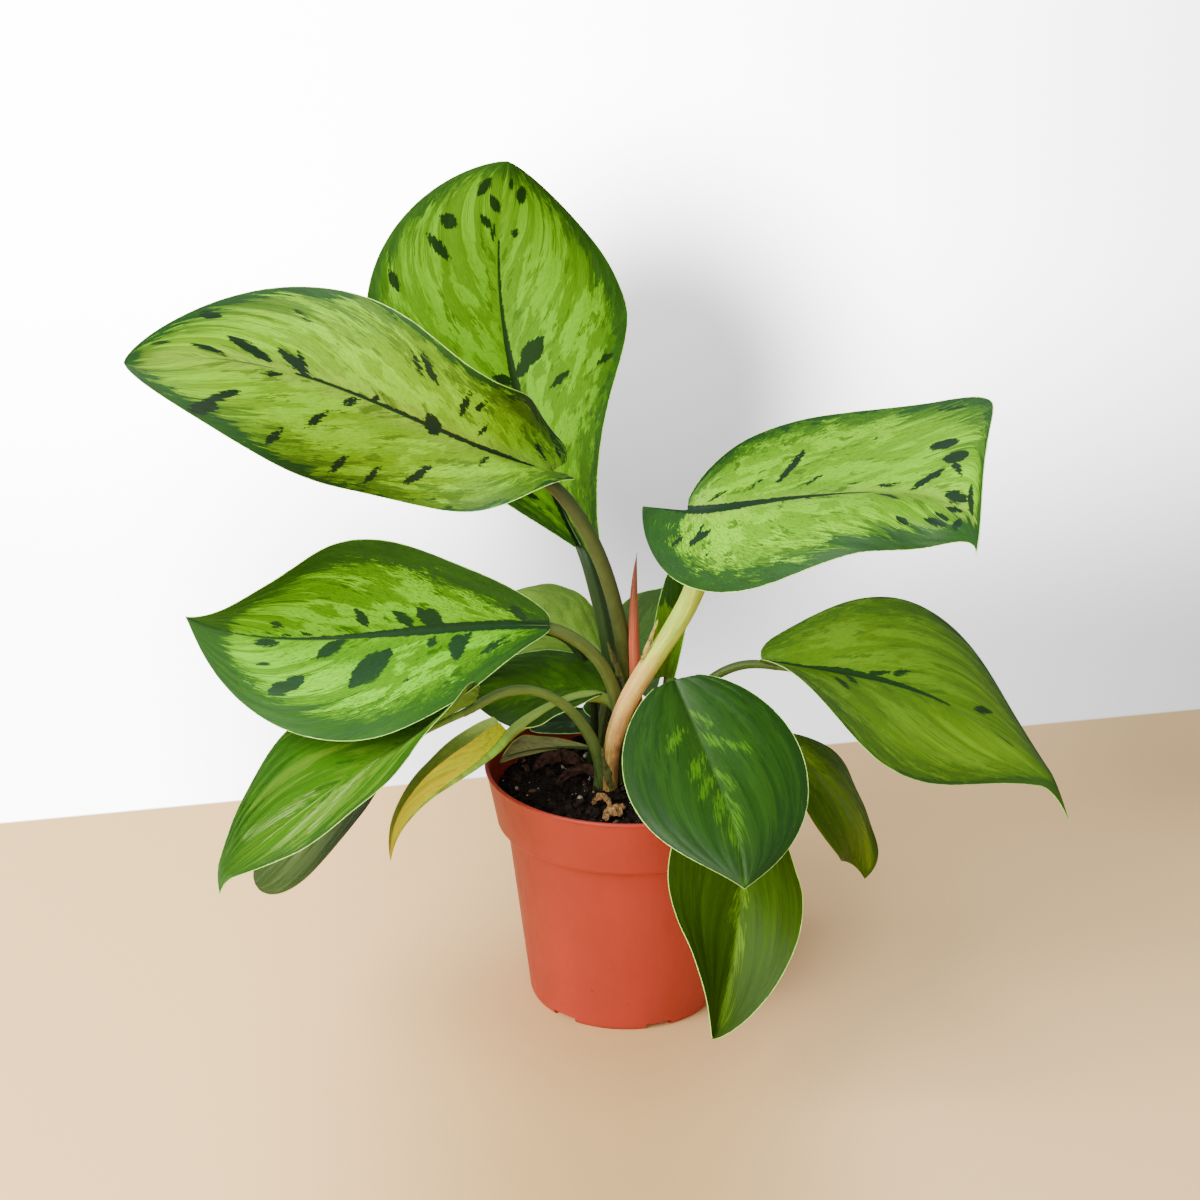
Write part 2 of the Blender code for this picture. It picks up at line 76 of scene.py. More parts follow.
@dataclass
class Leaf:
    """One leaf: a blade on a midrib, the stalk that carries it, and how they are marked.

    midrib      four Bezier points from the blade's base to its tip
    half_width  widest reach of the left and the right half, measured on the surface
    face        azimuth from the front and elevation that the top side looks to
    twist       turn of the blade about its midrib from base to tip
    fold_left, fold_right  rise of each half from flat, at the base and at the tip
    curl        further bend of each half between midrib and margin
    base, point exponents of the outline: a small base is blunt, a large point is drawn out
    shoulder    share of the width already reached at the base
    lobes       how far each half runs back behind the base
    stalk       foot on the soil and two handles of the stalk's Bezier curve
    stalk_radii foot and top
    skin        name of the blade's finish in SKINS
    stalk_skin  name of the stalk's finish in STALK_SKINS
    tail        how far the last bit of the tip hooks away
    heel        further width of each half at the base, which rounds it off
    dent        a narrower place of the right half: (share of length, spread, depth)
    sweep       how far the side veins run on towards the tip, as (s, t) of vein_start
    quilt       rise of the blade between its side veins
    veins       how many side veins leave the midrib on each side
    wave        how far the margin ripples
    margins     depth of the dark margin at even steps from base to tip, left half then right
    dark_tip    share of the length past which the blade is dark
    rib         half width of the dark line along the midrib, as (share of length, width)
    rib_end     share of the length at which the rib beneath has faded into the blade
    blotches    dark strokes (u, v, u, v, half width) from end to end, u and v in hundredths
    flecks      light strokes, in the same form
    """

    name: str
    midrib: tuple
    half_width: tuple
    face: tuple
    twist: float
    fold_left: tuple
    fold_right: tuple
    curl: tuple
    base: float
    point: float
    shoulder: float
    lobes: tuple
    stalk: tuple = ()
    stalk_radii: tuple = (2.0, 2.0)
    skin: str = "light"
    stalk_skin: str = "olive"
    tail: tuple = (0, 0, 0)
    heel: tuple = (0, 0)
    dent: tuple = (0, 1, 0)
    sweep: tuple = (0.34, 0.15)
    quilt: float = 0.35
    veins: float = 9
    wave: float = 0.6
    margins: tuple = ((0, 0, 0), (0, 0, 0))
    dark_tip: float = 2.0
    rib: tuple = ((0, -9), (1, -9))
    rib_end: float = 0.92
    blotches: tuple = ()
    flecks: tuple = ()


LEAVES = [
    Leaf("upper_left", ((-31, -6, 237), (-84, -23, 259), (-134, -26, 301), (-195, -35, 290)),
         (38, 37), (-73, 28), -16, (20, -20), (38, -6), (-38, 22), 0.8, 0.7, 0.06, (6, 7),
         ((7, 13, 97), (-2, 7, 161), (-4, -10, 204)), (3.4, 3.1), sweep=(0.32, 0.15), veins=9,
         heel=(0, 6), dark_tip=0.965, skin="sage", stalk_skin="olive_brown",
         margins=((1, 1.2, 2.5, 3.5, 7.5, 5), (3, 4, 2.5, 2, 5.5, 4)),
         rib=((0, 1.3), (0.35, 0.9), (0.62, 0.6), (0.66, -3), (1, -3)),
         blotches=((78, 7, 86, 32, 1.3), (68, 7, 78, 39, 2.2), (65, -6, 70, -10, 1.1),
             (59, 0, 67, 24, 2.2), (60, 2, 63, 26, 1.5), (61, 59, 66, 74, 0.9),
             (47, -4, 51, -16, 1.5), (53, -27, 57, -51, 1.7), (74, -40, 83, -73, 1.9),
             (79, -70, 86, -92, 2.6), (34, 52, 40, 76, 1.7), (37, 50, 42, 70, 1),
             (32, 12, 28, -6, 3.2), (43, 10, 45, -4, 1.2), (28, 70, 26, 29, 1.5),
             (24, 69, 24, 42, 1.3), (20, 36, 20, 11, 1.1), (4, 34, 8, 50, 1.5), (2, 59, 4, 71, 1.1),
             (16, -14, 18, -33, 1.3), (27, -44, 31, -76, 1.9), (90, 48, 94, 60, 0.9),
             (80, 72, 84, 86, 2), (45, -60, 48, -90, 1.6), (62, -62, 66, -90, 1.8),
             (37, -62, 39, -88, 1.4))),
    Leaf("top", ((-20, 24, 195), (-50, 82, 230), (-66, 115, 280), (-54, 117, 338)), (60, 55),
         (-6, 36), 31, (45, -2), (51, -6), (-10, -35), 1.2, 0.8, 0.03, (0, 27),
         ((-2, 17, 97), (-5, 18, 141), (-9, 17, 164)), (3.7, 2.8), sweep=(0.36, 0.25), veins=8,
         skin="meadow", stalk_skin="dark",
         margins=((3.5, 4.5, 5.5, 6, 6, 4.5), (2.5, 3, 4.5, 7, 7, 5)), dark_tip=0.965,
         rib=((0, 2.2), (0.42, 2), (0.6, 0.9), (0.8, 0.35), (0.84, -3), (1, -3)),
         blotches=((87, -1, 91, -17, 2), (83, -9, 86, -21, 1.6), (80, -5, 84, -6, 1),
             (81, 14, 83, 20, 1.6), (83, -43, 85, -62, 3.4), (75, -41, 81, -68, 2.4),
             (46, 10, 52, 30, 5), (44, 3, 47, 16, 3), (43, -2, 45, -16, 2.4), (38, 36, 41, 52, 2),
             (41, 80, 43, 90, 2), (68, -76, 73, -88, 2.4), (63, -90, 60, -80, 2.2),
             (24, -30, 27, -55, 2.4), (90, 30, 94, 40, 2.4), (91, -35, 95, -30, 2.6),
             (13, -40, 18, -62, 2.2), (93, 16, 96, 20, 1.4))),
    Leaf("upper_right", ((23, -31, 231), (37, -60, 239), (141, -71, 272), (121, -142, 254)),
         (65, 44), (-130, 25), -57, (10, 42), (-37, 20), (9, -60), 1.15, 1.45, 0.02, (0, 45),
         ((-7, -3, 97), (-11, -11, 155), (40, -18, 177)), (3.5, 5), sweep=(0.3, 0.15), veins=8,
         rib_end=0.7, skin="fresh", stalk_skin="cream",
         margins=((3, 4, 4, 4, 6, 10), (9, 8, 6.5, 7, 9, 12)), dark_tip=0.88,
         rib=((0, 1.6), (0.2, 2.4), (0.33, 1.9), (0.45, 1), (0.54, 0.4), (0.6, -3), (1, -3)),
         blotches=((10, -13, 15, -25, 1), (22, -19, 24, -34, 0.9), (29, -22, 31, -60, 2),
             (36, -13, 39, -29, 1.4), (46, -12, 50, -12, 0.7), (53, -6, 60, -11, 1.3),
             (55, 4, 64, 23, 1.3), (63, -4, 67, -27, 2.4), (66, -18, 68, -27, 2.6),
             (60, -51, 67, -55, 3.2), (66, -38, 73, -49, 3), (69, -36, 75, -30, 1.4),
             (73, -7, 81, -12, 2.6), (77, 15, 82, 7, 1.4), (76, 33, 82, 39, 1.1),
             (68, 54, 72, 62, 1.4), (45, -57, 46, -68, 0.5), (16, 54, 18, 35, 2.4),
             (17, 53, 14, 28, 1), (12, 63, 13, 48, 1.4), (22, 65, 23, 56, 1), (39, 4, 41, 8, 0.8),
             (48, 2, 49, 5, 0.6), (33, 5, 35, 10, 0.6), (56, -90, 64, -91, 1.4),
             (75, 48, 82, 51, 1.6), (80, -30, 86, -5, 2.2), (84, 25, 86, 60, 2.4))),
    Leaf("mid_left", ((-32, -16, 175), (-90, -28, 181), (-139, -46, 170), (-175, -47, 190)),
         (46, 46), (-21, 21), -23, (32, 17), (31, 25), (1, 18), 1.2, 1.25, 0.02, (0, 0),
         ((-2, 4, 97), (-2, 1, 135), (-4, -8, 160)), (2.9, 2.6), sweep=(0.42, 0.2), veins=8,
         heel=(1.5, 2.5), dent=(0.27, 0.13, 3.6), rib_end=0.8, skin="bold", stalk_skin="olive",
         margins=((5, 8, 9, 10, 11, 13), (9, 11, 12, 11, 10, 12)), dark_tip=0.84,
         rib=((0, 2.4), (0.3, 2.6), (0.45, 1.3), (0.6, 0.8), (0.78, 0.4), (1, 0.4)),
         blotches=((22, -10, 24, -47, 3.4), (19, -8, 23, -38, 1.6), (28, -10, 30, -22, 1.9),
             (28, 3, 32, 27, 2.5), (26, 4, 29, 27, 2.5), (33, 6, 38, 24, 2.3),
             (45, 10, 48, 26, 2.1), (40, -19, 51, -47, 5), (36, -50, 38, -54, 0.8),
             (51, -2, 59, -19, 2.6), (73, 23, 69, 16, 1.3), (75, 9, 72, 5, 0.6),
             (69, 5, 66, 3, 0.6), (64, 7, 60, 3, 1), (76, -38, 72, -32, 0.8),
             (63, -39, 68, -56, 3.1), (66, -50, 72, -66, 3), (11, -36, 18, -56, 1.6),
             (77, -10, 70, -5, 2), (6, 20, 10, 50, 2))),
    Leaf("lower_left", ((-63, -31, 146), (-90, -56, 143), (-127, -81, 124), (-159, -109, 104)),
         (42, 38.5), (-39, 58), -31, (38, 9), (27, 9), (11, -8), 0.7, 1.1, 0.03, (0, 0),
         ((-11.5, -2.5, 97), (-7, -9, 122), (-33, -20, 166)), (2.5, 2), sweep=(0.55, 0.3), veins=6,
         skin="streaked", stalk_skin="moss", tail=(3, 0, -5), quilt=0.5,
         margins=((2, 2.5, 2, 1.5), (1.5, 1.5, 1.5, 1.5)),
         flecks=((55, -10, 80, -50, 1.6), (42, -8, 72, -62, 1.5), (62, 10, 84, 40, 1.2))),
    Leaf("under_left", ((-83, -1, 125), (-102, -26, 114), (-126, -47, 98), (-151, -56, 76)),
         (35, 34), (-67, 43), -13, (25, 4), (17, 0), (1, -21), 0.7, 0.5, 0.03, (5, 5),
         ((-16, 19, 97), (-4, 27, 164), (-46, 24, 182)), (1.9, 1.8), sweep=(0.5, 0.3), veins=5,
         skin="dusky", stalk_skin="dark",
         flecks=((35, -4, 80, -30, 1.8), (55, 10, 85, 15, 1))),
    Leaf("yellow", ((-50, -16, 128), (-61, -30, 111), (-92, -35, 108), (-96, -50, 84)), (15, 17),
         (-90, 52), 10, (55, 58), (46, 50), (-2, -18), 0.5, 1.05, 0.04, (0, 3),
         ((-1, 7, 97), (6, 3, 153), (-24, -4, 140)), (2.4, 2.7), skin="yellow", stalk_skin="sap",
         quilt=0.2, wave=0.3),
    Leaf("inner_left", ((-9, 4, 137), (-30, 9, 137), (-50, 8, 138), (-66, 0, 135)), (26, 24),
         (-2, 68), -23, (26, -6), (19, -9), (-6, -17), 0.55, 0.7, 0.05, (0, 3),
         ((-3, 11, 97), (-2, 13, 122), (-3, 5, 136)), (2.3, 2.2), skin="shade",
         stalk_skin="pale_olive", quilt=0.25, wave=0.3,
         flecks=((10, 5, 35, -30, 1), (30, 4, 55, -25, 0.8))),
    Leaf("back_left", ((-10, 33, 142), (-36, 54, 149), (-58, 76, 141), (-77, 99, 126)), (27, 26),
         (-7, 61), -4, (16, 8), (13, 7), (-9, -16), 0.8, 0.75, 0.01, (5, 0),
         ((-12, 27, 97), (-12, 27, 119), (-3, 29, 139)), (2.2, 2), skin="light",
         stalk_skin="pale_olive"),
    Leaf("back_right", ((-2, 24, 141), (2, 49, 143), (16, 70, 146), (32, 88, 163)), (22, 22),
         (21, 8), 8, (17, 13), (15, 7), (-4, -15), 0.5, 1.5, 0.04, (4, 4),
         ((5, 24, 97), (5, 24, 117), (-1, 21, 134)), (2, 1.8), skin="pine", stalk_skin="dark"),
    Leaf("back_upright", ((17, 23, 136), (20, 21, 165), (25, 28, 184), (28, 44, 193)), (9, 5),
         (-6, 11), 2, (19, 10), (21, 11), (-8, -5), 0.4, 0.6, 0.09, (1, 1),
         ((13, 22, 97), (13, 22, 110), (16, 23, 122)), (1.8, 1.6), skin="lime",
         stalk_skin="pale_olive", quilt=0.1, wave=0.1, dark_tip=0.42),
    Leaf("tiny_back", ((-6, 34, 112), (-13, 36, 115), (-17, 40, 116), (-19, 44, 113)), (6, 6),
         (-10, 57), 3, (16, 12), (17, 11), (-9, -8), 0.5, 1.1, 0.04, (1, 1),
         ((-2, 33, 97), (-2, 33, 101), (-3, 33, 106)), (1.3, 1.1), skin="shade", stalk_skin="dark",
         quilt=0.1, wave=0.1),
    Leaf("front_right", ((19, -41, 162), (36, -83, 135), (45, -115, 130), (45, -123, 112)),
         (36, 35), (9, 45), -7, (17, -2), (15, -1), (-16, -22), 0.6, 1.05, 0.02, (-1.5, -1.5),
         ((11, 3, 97), (15, -6, 125), (17, -26, 158)), (2.6, 2.3), sweep=(0.95, 0.5), veins=2.6,
         skin="glossy", stalk_skin="dark", quilt=0.14, wave=0.3,
         flecks=((20, -5, 27, -22, 1.6), (28, 5, 36, 24, 1.8), (36, 4, 45, 24, 1.6),
             (26, -30, 30, -44, 1.2), (34, -3, 44, -14, 1.3), (44, 3, 58, 16, 1.4),
             (46, -3, 58, -10, 1.2), (56, 3, 72, 10, 1.1), (62, -2, 96, -1, 0.7),
             (17, 20, 23, 42, 1.4), (12, -8, 18, -20, 1.1), (58, -2, 70, -8, 1))),
    Leaf("front_low", ((47, -69, 123), (47, -64, 84), (47, -78, 60), (35, -106, 36)), (32, 31),
         (3, 19), -41, (34, 29), (12, 29), (17, 7), 0.4, 0.75, 0.03, (6, 1),
         ((15, -14, 97), (15, -26, 129), (46, -56, 152)), (2.3, 2), sweep=(0.9, 0.4), veins=2.6,
         skin="deep", stalk_skin="dark", quilt=0.22, wave=0.4,
         flecks=((36, 1, 44, -10, 1.4), (55, -2, 74, -10, 1.6), (74, -4, 94, -20, 1.9),
             (50, -1, 62, -5, 1.1), (40, 4, 52, 10, 1))),
    Leaf("right_small", ((70, 20, 108), (92, 9, 87), (108, 16, 70), (105, 17, 43)), (22, 22),
         (4, 73), -5, (12, -14), (12, -10), (-26, -19), 0.8, 1, 0.01, (3, 3),
         ((24, 6, 97), (24, 8, 120), (56, 22, 120)), (1.8, 1.5), sweep=(0.8, 0.4), veins=4,
         skin="olive", stalk_skin="olive", quilt=0.5, wave=0.3,
         flecks=((10, 2, 62, 30, 1), (60, -30, 92, -30, 2.2))),
    Leaf("right", ((56, 6, 151), (99, -5, 148), (136, -20, 156), (182, -29, 107)), (53, 51),
         (15, 70), 14, (35, -28), (41, -28), (-13, -4), 1.2, 1.35, 0.02, (0, 0),
         ((16, 12, 97), (17, 11, 125), (35, 9, 150)), (2.2, 1.9), sweep=(0.62, 0.4), veins=4,
         heel=(5, 3), skin="grass", stalk_skin="green", tail=(2, 0, -14), quilt=0.4,
         margins=((1, 1.5, 1.5, 2, 3, 5), (1, 1, 1, 2, 3, 5)),
         rib=((0, 0.8), (0.15, 1.2), (0.27, 2.9), (0.36, 2.2), (0.5, 1.3), (0.62, 0.6), (0.68, -3),
             (1, -3)),
         blotches=((26, 20, 32, 41, 1.9), (34, -3, 41, -11, 1.5), (42, -9, 47, -19, 1.7),
             (69, -14, 74, -30, 2.2), (75, 0, 83, 3, 0.7), (28, 5, 33, 22, 1.6))),
    Leaf("tucked", ((-14, 40, 105), (-24, 43, 107), (-34, 41, 107), (-42, 34, 105)), (7, 7),
         (0, 50), 0, (20, 10), (20, 10), (-8, -8), 0.5, 0.6, 0.04, (1, 1),
         ((-7, 28, 97), (-7, 29, 101), (-10, 33, 102)), (1.3, 1.1), skin="slate", stalk_skin="dark",
         quilt=0.1, wave=0.2),
    Leaf("fallen", ((-17, 32, 98.5), (-30, 29, 101), (-46, 22, 102), (-53.6, 11.8, 102)), (10, 4),
         (170, 15), 0, (6, 4), (6, 4), (-10, -10), 1.1, 0.16, 0.05, (0, 0), skin="dead", quilt=0.1,
         wave=0.5),
]

# The rolled new leaf: foot, two handles and tip of its centre line.
BUD_LINE = ((6, -1, 97), (5, -1, 135), (0.5, 0, 171), (3.5, 3, 200))
BUD_RADIUS = 2.3

# Radiance of a white card that faces the studio's light. Paints are worked out for it.
STUDIO_LIGHT = 2.6

# White that the gloss of leaves and stalks adds, taken off their paints again.
LEAF_SHEEN = 0.009


def film(display):
    """Linear light that the view's soft film response shows as these display values (0 to 1).

    The response dulls bright colours, so their distance from grey d = x - y is first made
    d (0.865 + 0.62 y). Then a toe and shoulder 0.693 x^0.854 (1 - 0.5 m^3) / (1.05 - x)^1.115
    undo its curve, where m is the strongest channel.
    """
    x = np.where(display < 0.04045, display / 12.92, ((display + 0.055) / 1.055) ** 2.4)
    y = x @ np.array([0.2126, 0.7152, 0.0722])
    x = np.clip(y + (x - y) * (0.865 + 0.62 * y), 0, None)
    return 0.693 * x**0.854 * (1 - 0.5 * x.max()**3) / np.clip(1.05 - x, 0.02, None)**1.115


def paint(red, green, blue, sheen=0.0):
    """The colour of a paint chip that looks like these display values (0 to 255) when lit.

    sheen is taken off again for a surface whose own gloss adds that much white.
    """
    shade = film(np.clip(np.array([red, green, blue]) / 255, 0, 1)) / STUDIO_LIGHT - sheen
    return (*np.clip(shade, 0.0008, 0.95).tolist(), 1.0)


@dataclass
class Skin:
    """Finish of a blade's top side.

    light, streak, cloud  the field: its ground, patches drawn out along the side veins,
                and deeper clouds that gather towards the margin
    margin, dark, fleck, rib, edge  the margin's band, blotches, light flecks, the paler zone
            beside the midrib, which is partly the leaf's own pale band and partly a painted
            sheen, and the thin pale rim
    under       colour of the underside
    streaks, clouds, rib_zone  how much of the field each takes, from 0 to 1
    zone        how strongly the clouds gather towards the margin
    hatch, lump how far, in millimetres, fine dashes and broad tongues break the dark band
    weave       how much of the field a fine net in the margin's colour covers
    edge_width  width of the pale rim
    """

    light: tuple
    streak: tuple
    cloud: tuple
    dark: tuple
    fleck: tuple
    rib: tuple
    under: tuple
    margin: tuple = (60, 116, 52)
    edge: tuple = (228, 238, 206)
    streaks: float = 0.8
    clouds: float = 0.8
    rib_zone: float = 0.6
    zone: float = 1.0
    hatch: float = 6.0
    lump: float = 16.0
    weave: float = 0.25
    edge_width: float = 0.2
    roughness: float = 0.46
    specular: float = 0.14
    coat: float = 0.0


# Sockets of the leaf colour group, named after the fields of Skin that they take.
SKIN_COLOURS = ("Light", "Streak", "Cloud", "Margin", "Dark", "Fleck", "Rib", "Edge")
SKIN_AMOUNTS = ("Streaks", "Clouds", "Rib Zone", "Zone", "Hatch", "Lump", "Weave", "Edge Width")

SKINS = {
    "sage": Skin((190, 216, 66), (160, 192, 62), (120, 158, 62), (54, 82, 56), (190, 210, 120),
         (186, 202, 122), (136, 150, 84), margin=(66, 120, 56), lump=22, hatch=10, zone=1,
         weave=0.45),
    "meadow": Skin((166, 204, 30), (124, 170, 32), (94, 144, 40), (54, 88, 40), (170, 196, 80),
         (140, 180, 50), (126, 148, 78), margin=(84, 134, 52), lump=26, hatch=12, zone=1.3,
         weave=0.45, roughness=0.56, specular=0.06),
    "fresh": Skin((184, 214, 76), (148, 190, 56), (98, 148, 54), (54, 84, 60), (190, 210, 120),
         (184, 204, 118), (120, 140, 72), margin=(70, 122, 58), lump=26, hatch=15, zone=1.4,
         weave=0.65),
    "bold": Skin((190, 222, 44), (130, 180, 34), (80, 138, 42), (70, 112, 70), (180, 215, 90),
         (176, 212, 66), (160, 172, 98), margin=(88, 142, 62), lump=24, hatch=20, zone=1.5,
         weave=0.9),
    "streaked": Skin((104, 160, 26), (156, 186, 90), (66, 130, 12), (66, 112, 50), (192, 208, 156),
         (116, 168, 44), (170, 198, 132), margin=(84, 128, 50), streaks=0.75, hatch=8, weave=0.45),
    "dusky": Skin((104, 130, 62), (128, 148, 92), (84, 112, 50), (70, 100, 44), (160, 174, 128),
         (112, 136, 76), (120, 132, 80), margin=(84, 112, 48), edge=(150, 140, 90)),
    # Painted light: the top colours are paler than the yellow leaf itself, to make up for the shade
    # its far half lies in.
    "yellow": Skin((206, 216, 156), (212, 220, 166), (194, 206, 142), (190, 188, 120),
         (216, 222, 172), (206, 214, 160), (228, 233, 142), margin=(200, 212, 150),
         edge=(226, 220, 160), streaks=0.6, clouds=0.4, weave=0.1, edge_width=0.3),
    "shade": Skin((84, 130, 22), (104, 152, 36), (66, 112, 18), (52, 92, 20), (132, 178, 60),
         (92, 138, 36), (140, 160, 96), margin=(60, 104, 20)),
    # Painted light: much paler than the back right leaf itself, to make up for the shade it stands
    # in behind the plant.
    "pine": Skin((162, 200, 142), (174, 208, 154), (144, 184, 124), (126, 168, 108),
         (184, 214, 158), (164, 202, 142), (150, 180, 120), margin=(134, 176, 116)),
    "light": Skin((144, 174, 84), (156, 186, 96), (126, 158, 74), (106, 142, 62), (174, 194, 112),
         (150, 178, 94), (134, 152, 84), margin=(118, 150, 70)),
    "lime": Skin((150, 186, 40), (166, 198, 56), (120, 168, 36), (60, 110, 34), (170, 196, 70),
         (146, 182, 50), (130, 160, 60), margin=(72, 122, 36), edge_width=0.2, zone=0.3, weave=0.1),
    "glossy": Skin((62, 116, 28), (80, 134, 42), (50, 100, 24), (40, 84, 24), (128, 178, 44),
         (70, 116, 40), (108, 130, 66), margin=(50, 98, 28), streaks=0.5, hatch=3, weave=0.4,
         roughness=0.44, specular=0.28, coat=0.05),
    "deep": Skin((88, 128, 26), (100, 140, 30), (78, 114, 24), (70, 106, 26), (158, 188, 34),
         (92, 132, 32), (112, 132, 66), margin=(78, 114, 26), streaks=0.7, hatch=3, weave=0.4,
         specular=0.1),
    "olive": Skin((128, 162, 52), (150, 178, 72), (100, 140, 46), (74, 118, 44), (180, 198, 96),
         (160, 184, 92), (116, 132, 66), margin=(84, 126, 46), edge=(170, 176, 90), weave=0.4),
    "grass": Skin((158, 190, 82), (180, 206, 106), (130, 168, 70), (66, 112, 54), (184, 206, 112),
         (146, 182, 76), (150, 168, 88), margin=(94, 140, 64), hatch=6, lump=8, weave=0.6),
    "slate": Skin((120, 150, 118), (138, 166, 134), (64, 94, 64), (54, 84, 56), (130, 150, 120),
         (104, 130, 98), (110, 124, 84), margin=(60, 92, 60)),
    # Painted light: paler than the fallen leaf itself, its underside near white, to make up for the
    # shade it lies in inside the pot.
    "dead": Skin((190, 206, 150), (200, 214, 164), (172, 190, 132), (150, 166, 110),
         (200, 210, 160), (196, 208, 158), (234, 236, 216), margin=(168, 184, 126),
         edge=(230, 230, 190), streaks=0.5),
}

# Stalks: colour at the foot, in the middle, at the top, and of the streaks along them.
STALK_SKINS = {
    "olive": ((118, 132, 72), (134, 152, 92), (144, 160, 96), (160, 176, 118)),
    "olive_brown": ((90, 94, 38), (100, 112, 52), (114, 130, 74), (126, 140, 82)),
    "dark": ((70, 94, 38), (64, 102, 46), (62, 106, 50), (88, 122, 62)),
    "cream": ((206, 176, 138), (238, 226, 198), (214, 222, 148), (234, 236, 182)),
    "sap": ((142, 158, 100), (160, 178, 124), (190, 206, 138), (192, 208, 156)),
    "moss": ((122, 144, 86), (150, 174, 112), (160, 180, 114), (176, 194, 136)),
    "pale_olive": ((120, 132, 72), (142, 156, 98), (148, 166, 104), (170, 182, 128)),
    "green": ((90, 112, 46), (104, 132, 56), (124, 152, 74), (140, 166, 92)),
}

# Sockets of the stalk colour group, in the order of those colours.
STALK_COLOURS = ("Foot", "Middle", "Top", "Fibre")

# Dry scraps: light and middle colour of their fibres, and colour of their stains.
DRY_SKINS = {
    "dry_sheath": ((214, 196, 158), (182, 154, 112), (112, 80, 50)),
    "dry_strip": ((128, 92, 72), (98, 64, 50), (56, 34, 28)),
    "sheath_pale": ((214, 206, 160), (190, 178, 122), (150, 118, 78)),
    "sheath_olive": ((150, 156, 92), (128, 136, 74), (116, 100, 58)),
}

# Scraps on the soil and dry-edged sheath tips on the stalks. Each row holds name, node,
# finish in DRY_SKINS, half width, seed, curl, crumple, way it faces, and its Bezier line.
SCRAPS = [
    ("sheath_curled", "dry_sheath", "dry_sheath", 3.2, 21, 0.9, 0.5, (0, -0.4, 1),
     ((-9, -36, 97), (-7, -31, 100), (-2, -31, 101), (-1, -24, 98))),
    ("sheath_loose", "dry_sheath", "dry_sheath", 1.8, 24, 1.0, 0.6, (0, -0.4, 1),
     ((-14, -22, 97), (-12, -17, 101), (-8, -18, 101), (-6, -27, 97))),
    ("strip_papery", "dry_strip", "dry_strip", 3.2, 27, 0.8, 0.5, (0, -1, 0.6),
     ((-40, 11, 97), (-33, 17, 103), (-26, 20, 103), (-19, 13, 97))),
    ("strip_arched", "dry_strip", "dry_strip", 2.4, 31, 0.9, 0.5, (0, -1, 0.5),
     ((-30, -2, 96), (-22, 4, 104), (-12, 4, 104), (-11, -6, 96))),
    ("flap_pale_stalk", "stalk_upper_right", "sheath_pale", 0.9, 41, 0.8, 0.05, (-0.7, -0.7, 0.2),
     ((5.2, -14.5, 158), (7.0, -15.2, 164), (9.6, -16.0, 171), (12.2, -16.4, 178))),
    ("flap_between", "stalk_top", "sheath_olive", 1.2, 44, 0.8, 0.15, (0, -1, 0.2),
     ((-1.0, 1.0, 141), (-3.5, 1.2, 147), (-6.0, 1.6, 153), (-8.2, 2.0, 160))),
    ("flap_foot", "stalk_upper_right", "sheath_olive", 2.2, 47, 1.1, 0.2, (-0.2, -1, 0.1),
     ((-6.0, -7.5, 96), (-8.0, -8.5, 103), (-9.5, -9.0, 110), (-10.5, -8.5, 117))),
]
SCRAP_THICKNESS = 0.3

# Share v that stands for the midrib itself, taken just right of it.
ON_RIB = 1e-6
# Where the hook of the tip starts, as a share of the blade's length.
TAIL_START = 0.94
BLADE_THICKNESS = 0.4
# Rows and columns of points over a blade, finer where a half is wider than LARGE_HALF.
LARGE_HALF = 30
FINE_GRID = (120, 81)
COARSE_GRID = (64, 49)
RIB_SIDES = 10
RIB_RINGS = 70
RIB_TIP_RADIUS = 0.22
# The rib's radius at the base as a share of the stalk's.
RIB_SHARE = 0.86

STALK_SIDES = 20
STALK_RINGS = 70
# How far the stalk's foot lies below the soil's surface.
STALK_SUNK = 1.2
# Shares of the blade's length between which the stalk's end runs on as its rib.
STALK_JOIN = (0.01, 0.07)

# Depths in millimetres that leave a blade without a mark, and without a dark band.
FAR_OUTSIDE = -9.0
NO_BAND = -20.0
# Keeps the mottling of a blade's two halves apart.
HALVES_APART = 400.0

# Groups and materials that several pieces use, by maker and choice.
MADE = {}


def shared(maker, *choice):
    """What maker gives for this choice, made once and then used again."""
    if (maker, choice) not in MADE:
        MADE[maker, choice] = maker(*choice)
    return MADE[maker, choice]


def unit(vectors):
    """The vectors at length 1."""
    return vectors / np.linalg.norm(vectors, axis=-1, keepdims=True)


def ease(low, high, value):
    """Smooth step: 0 below low, 1 above high."""
    share = np.clip((value - low) / (high - low), 0, 1)
    return share * share * (3 - 2 * share)


def ripple(a, b, seed, waves=7):
    """Soft noise of unit size: a sum of sine waves over (a, b) in random directions."""
    chance = np.random.default_rng(seed)
    turn = chance.uniform(0, np.pi, waves)
    pitch = chance.uniform(0.6, 2.2, waves)
    start = chance.uniform(0, 2 * np.pi, waves)
    phase = pitch * (a[..., None] * np.cos(turn) + b[..., None] * np.sin(turn)) + start
    return np.sin(phase).sum(-1) / np.sqrt(waves)


def bezier(points, t):
    """Points of the cubic Bezier curve at the parameters t."""
    a, b, c, d = np.array(points, float)
    t = np.asarray(t, float)[..., None]
    s = 1 - t
    return s**3 * a + 3 * s * s * t * b + 3 * s * t * t * c + t**3 * d


def bezier_heading(points, t):
    """Unit tangents of the cubic Bezier curve at the parameters t."""
    a, b, c, d = np.array(points, float)
    t = np.asarray(t, float)[..., None]
    s = 1 - t
    return unit(s * s * (b - a) + 2 * s * t * (c - b) + t * t * (d - c))


def soil_height(x, y):
    """The soil's surface: a low cosine mound about the pot's axis."""
    distance = np.minimum(np.hypot(x, y) / SOIL_RADIUS, 1)
    return SOIL_EDGE_HEIGHT + SOIL_MOUND * np.cos(distance * np.pi / 2)


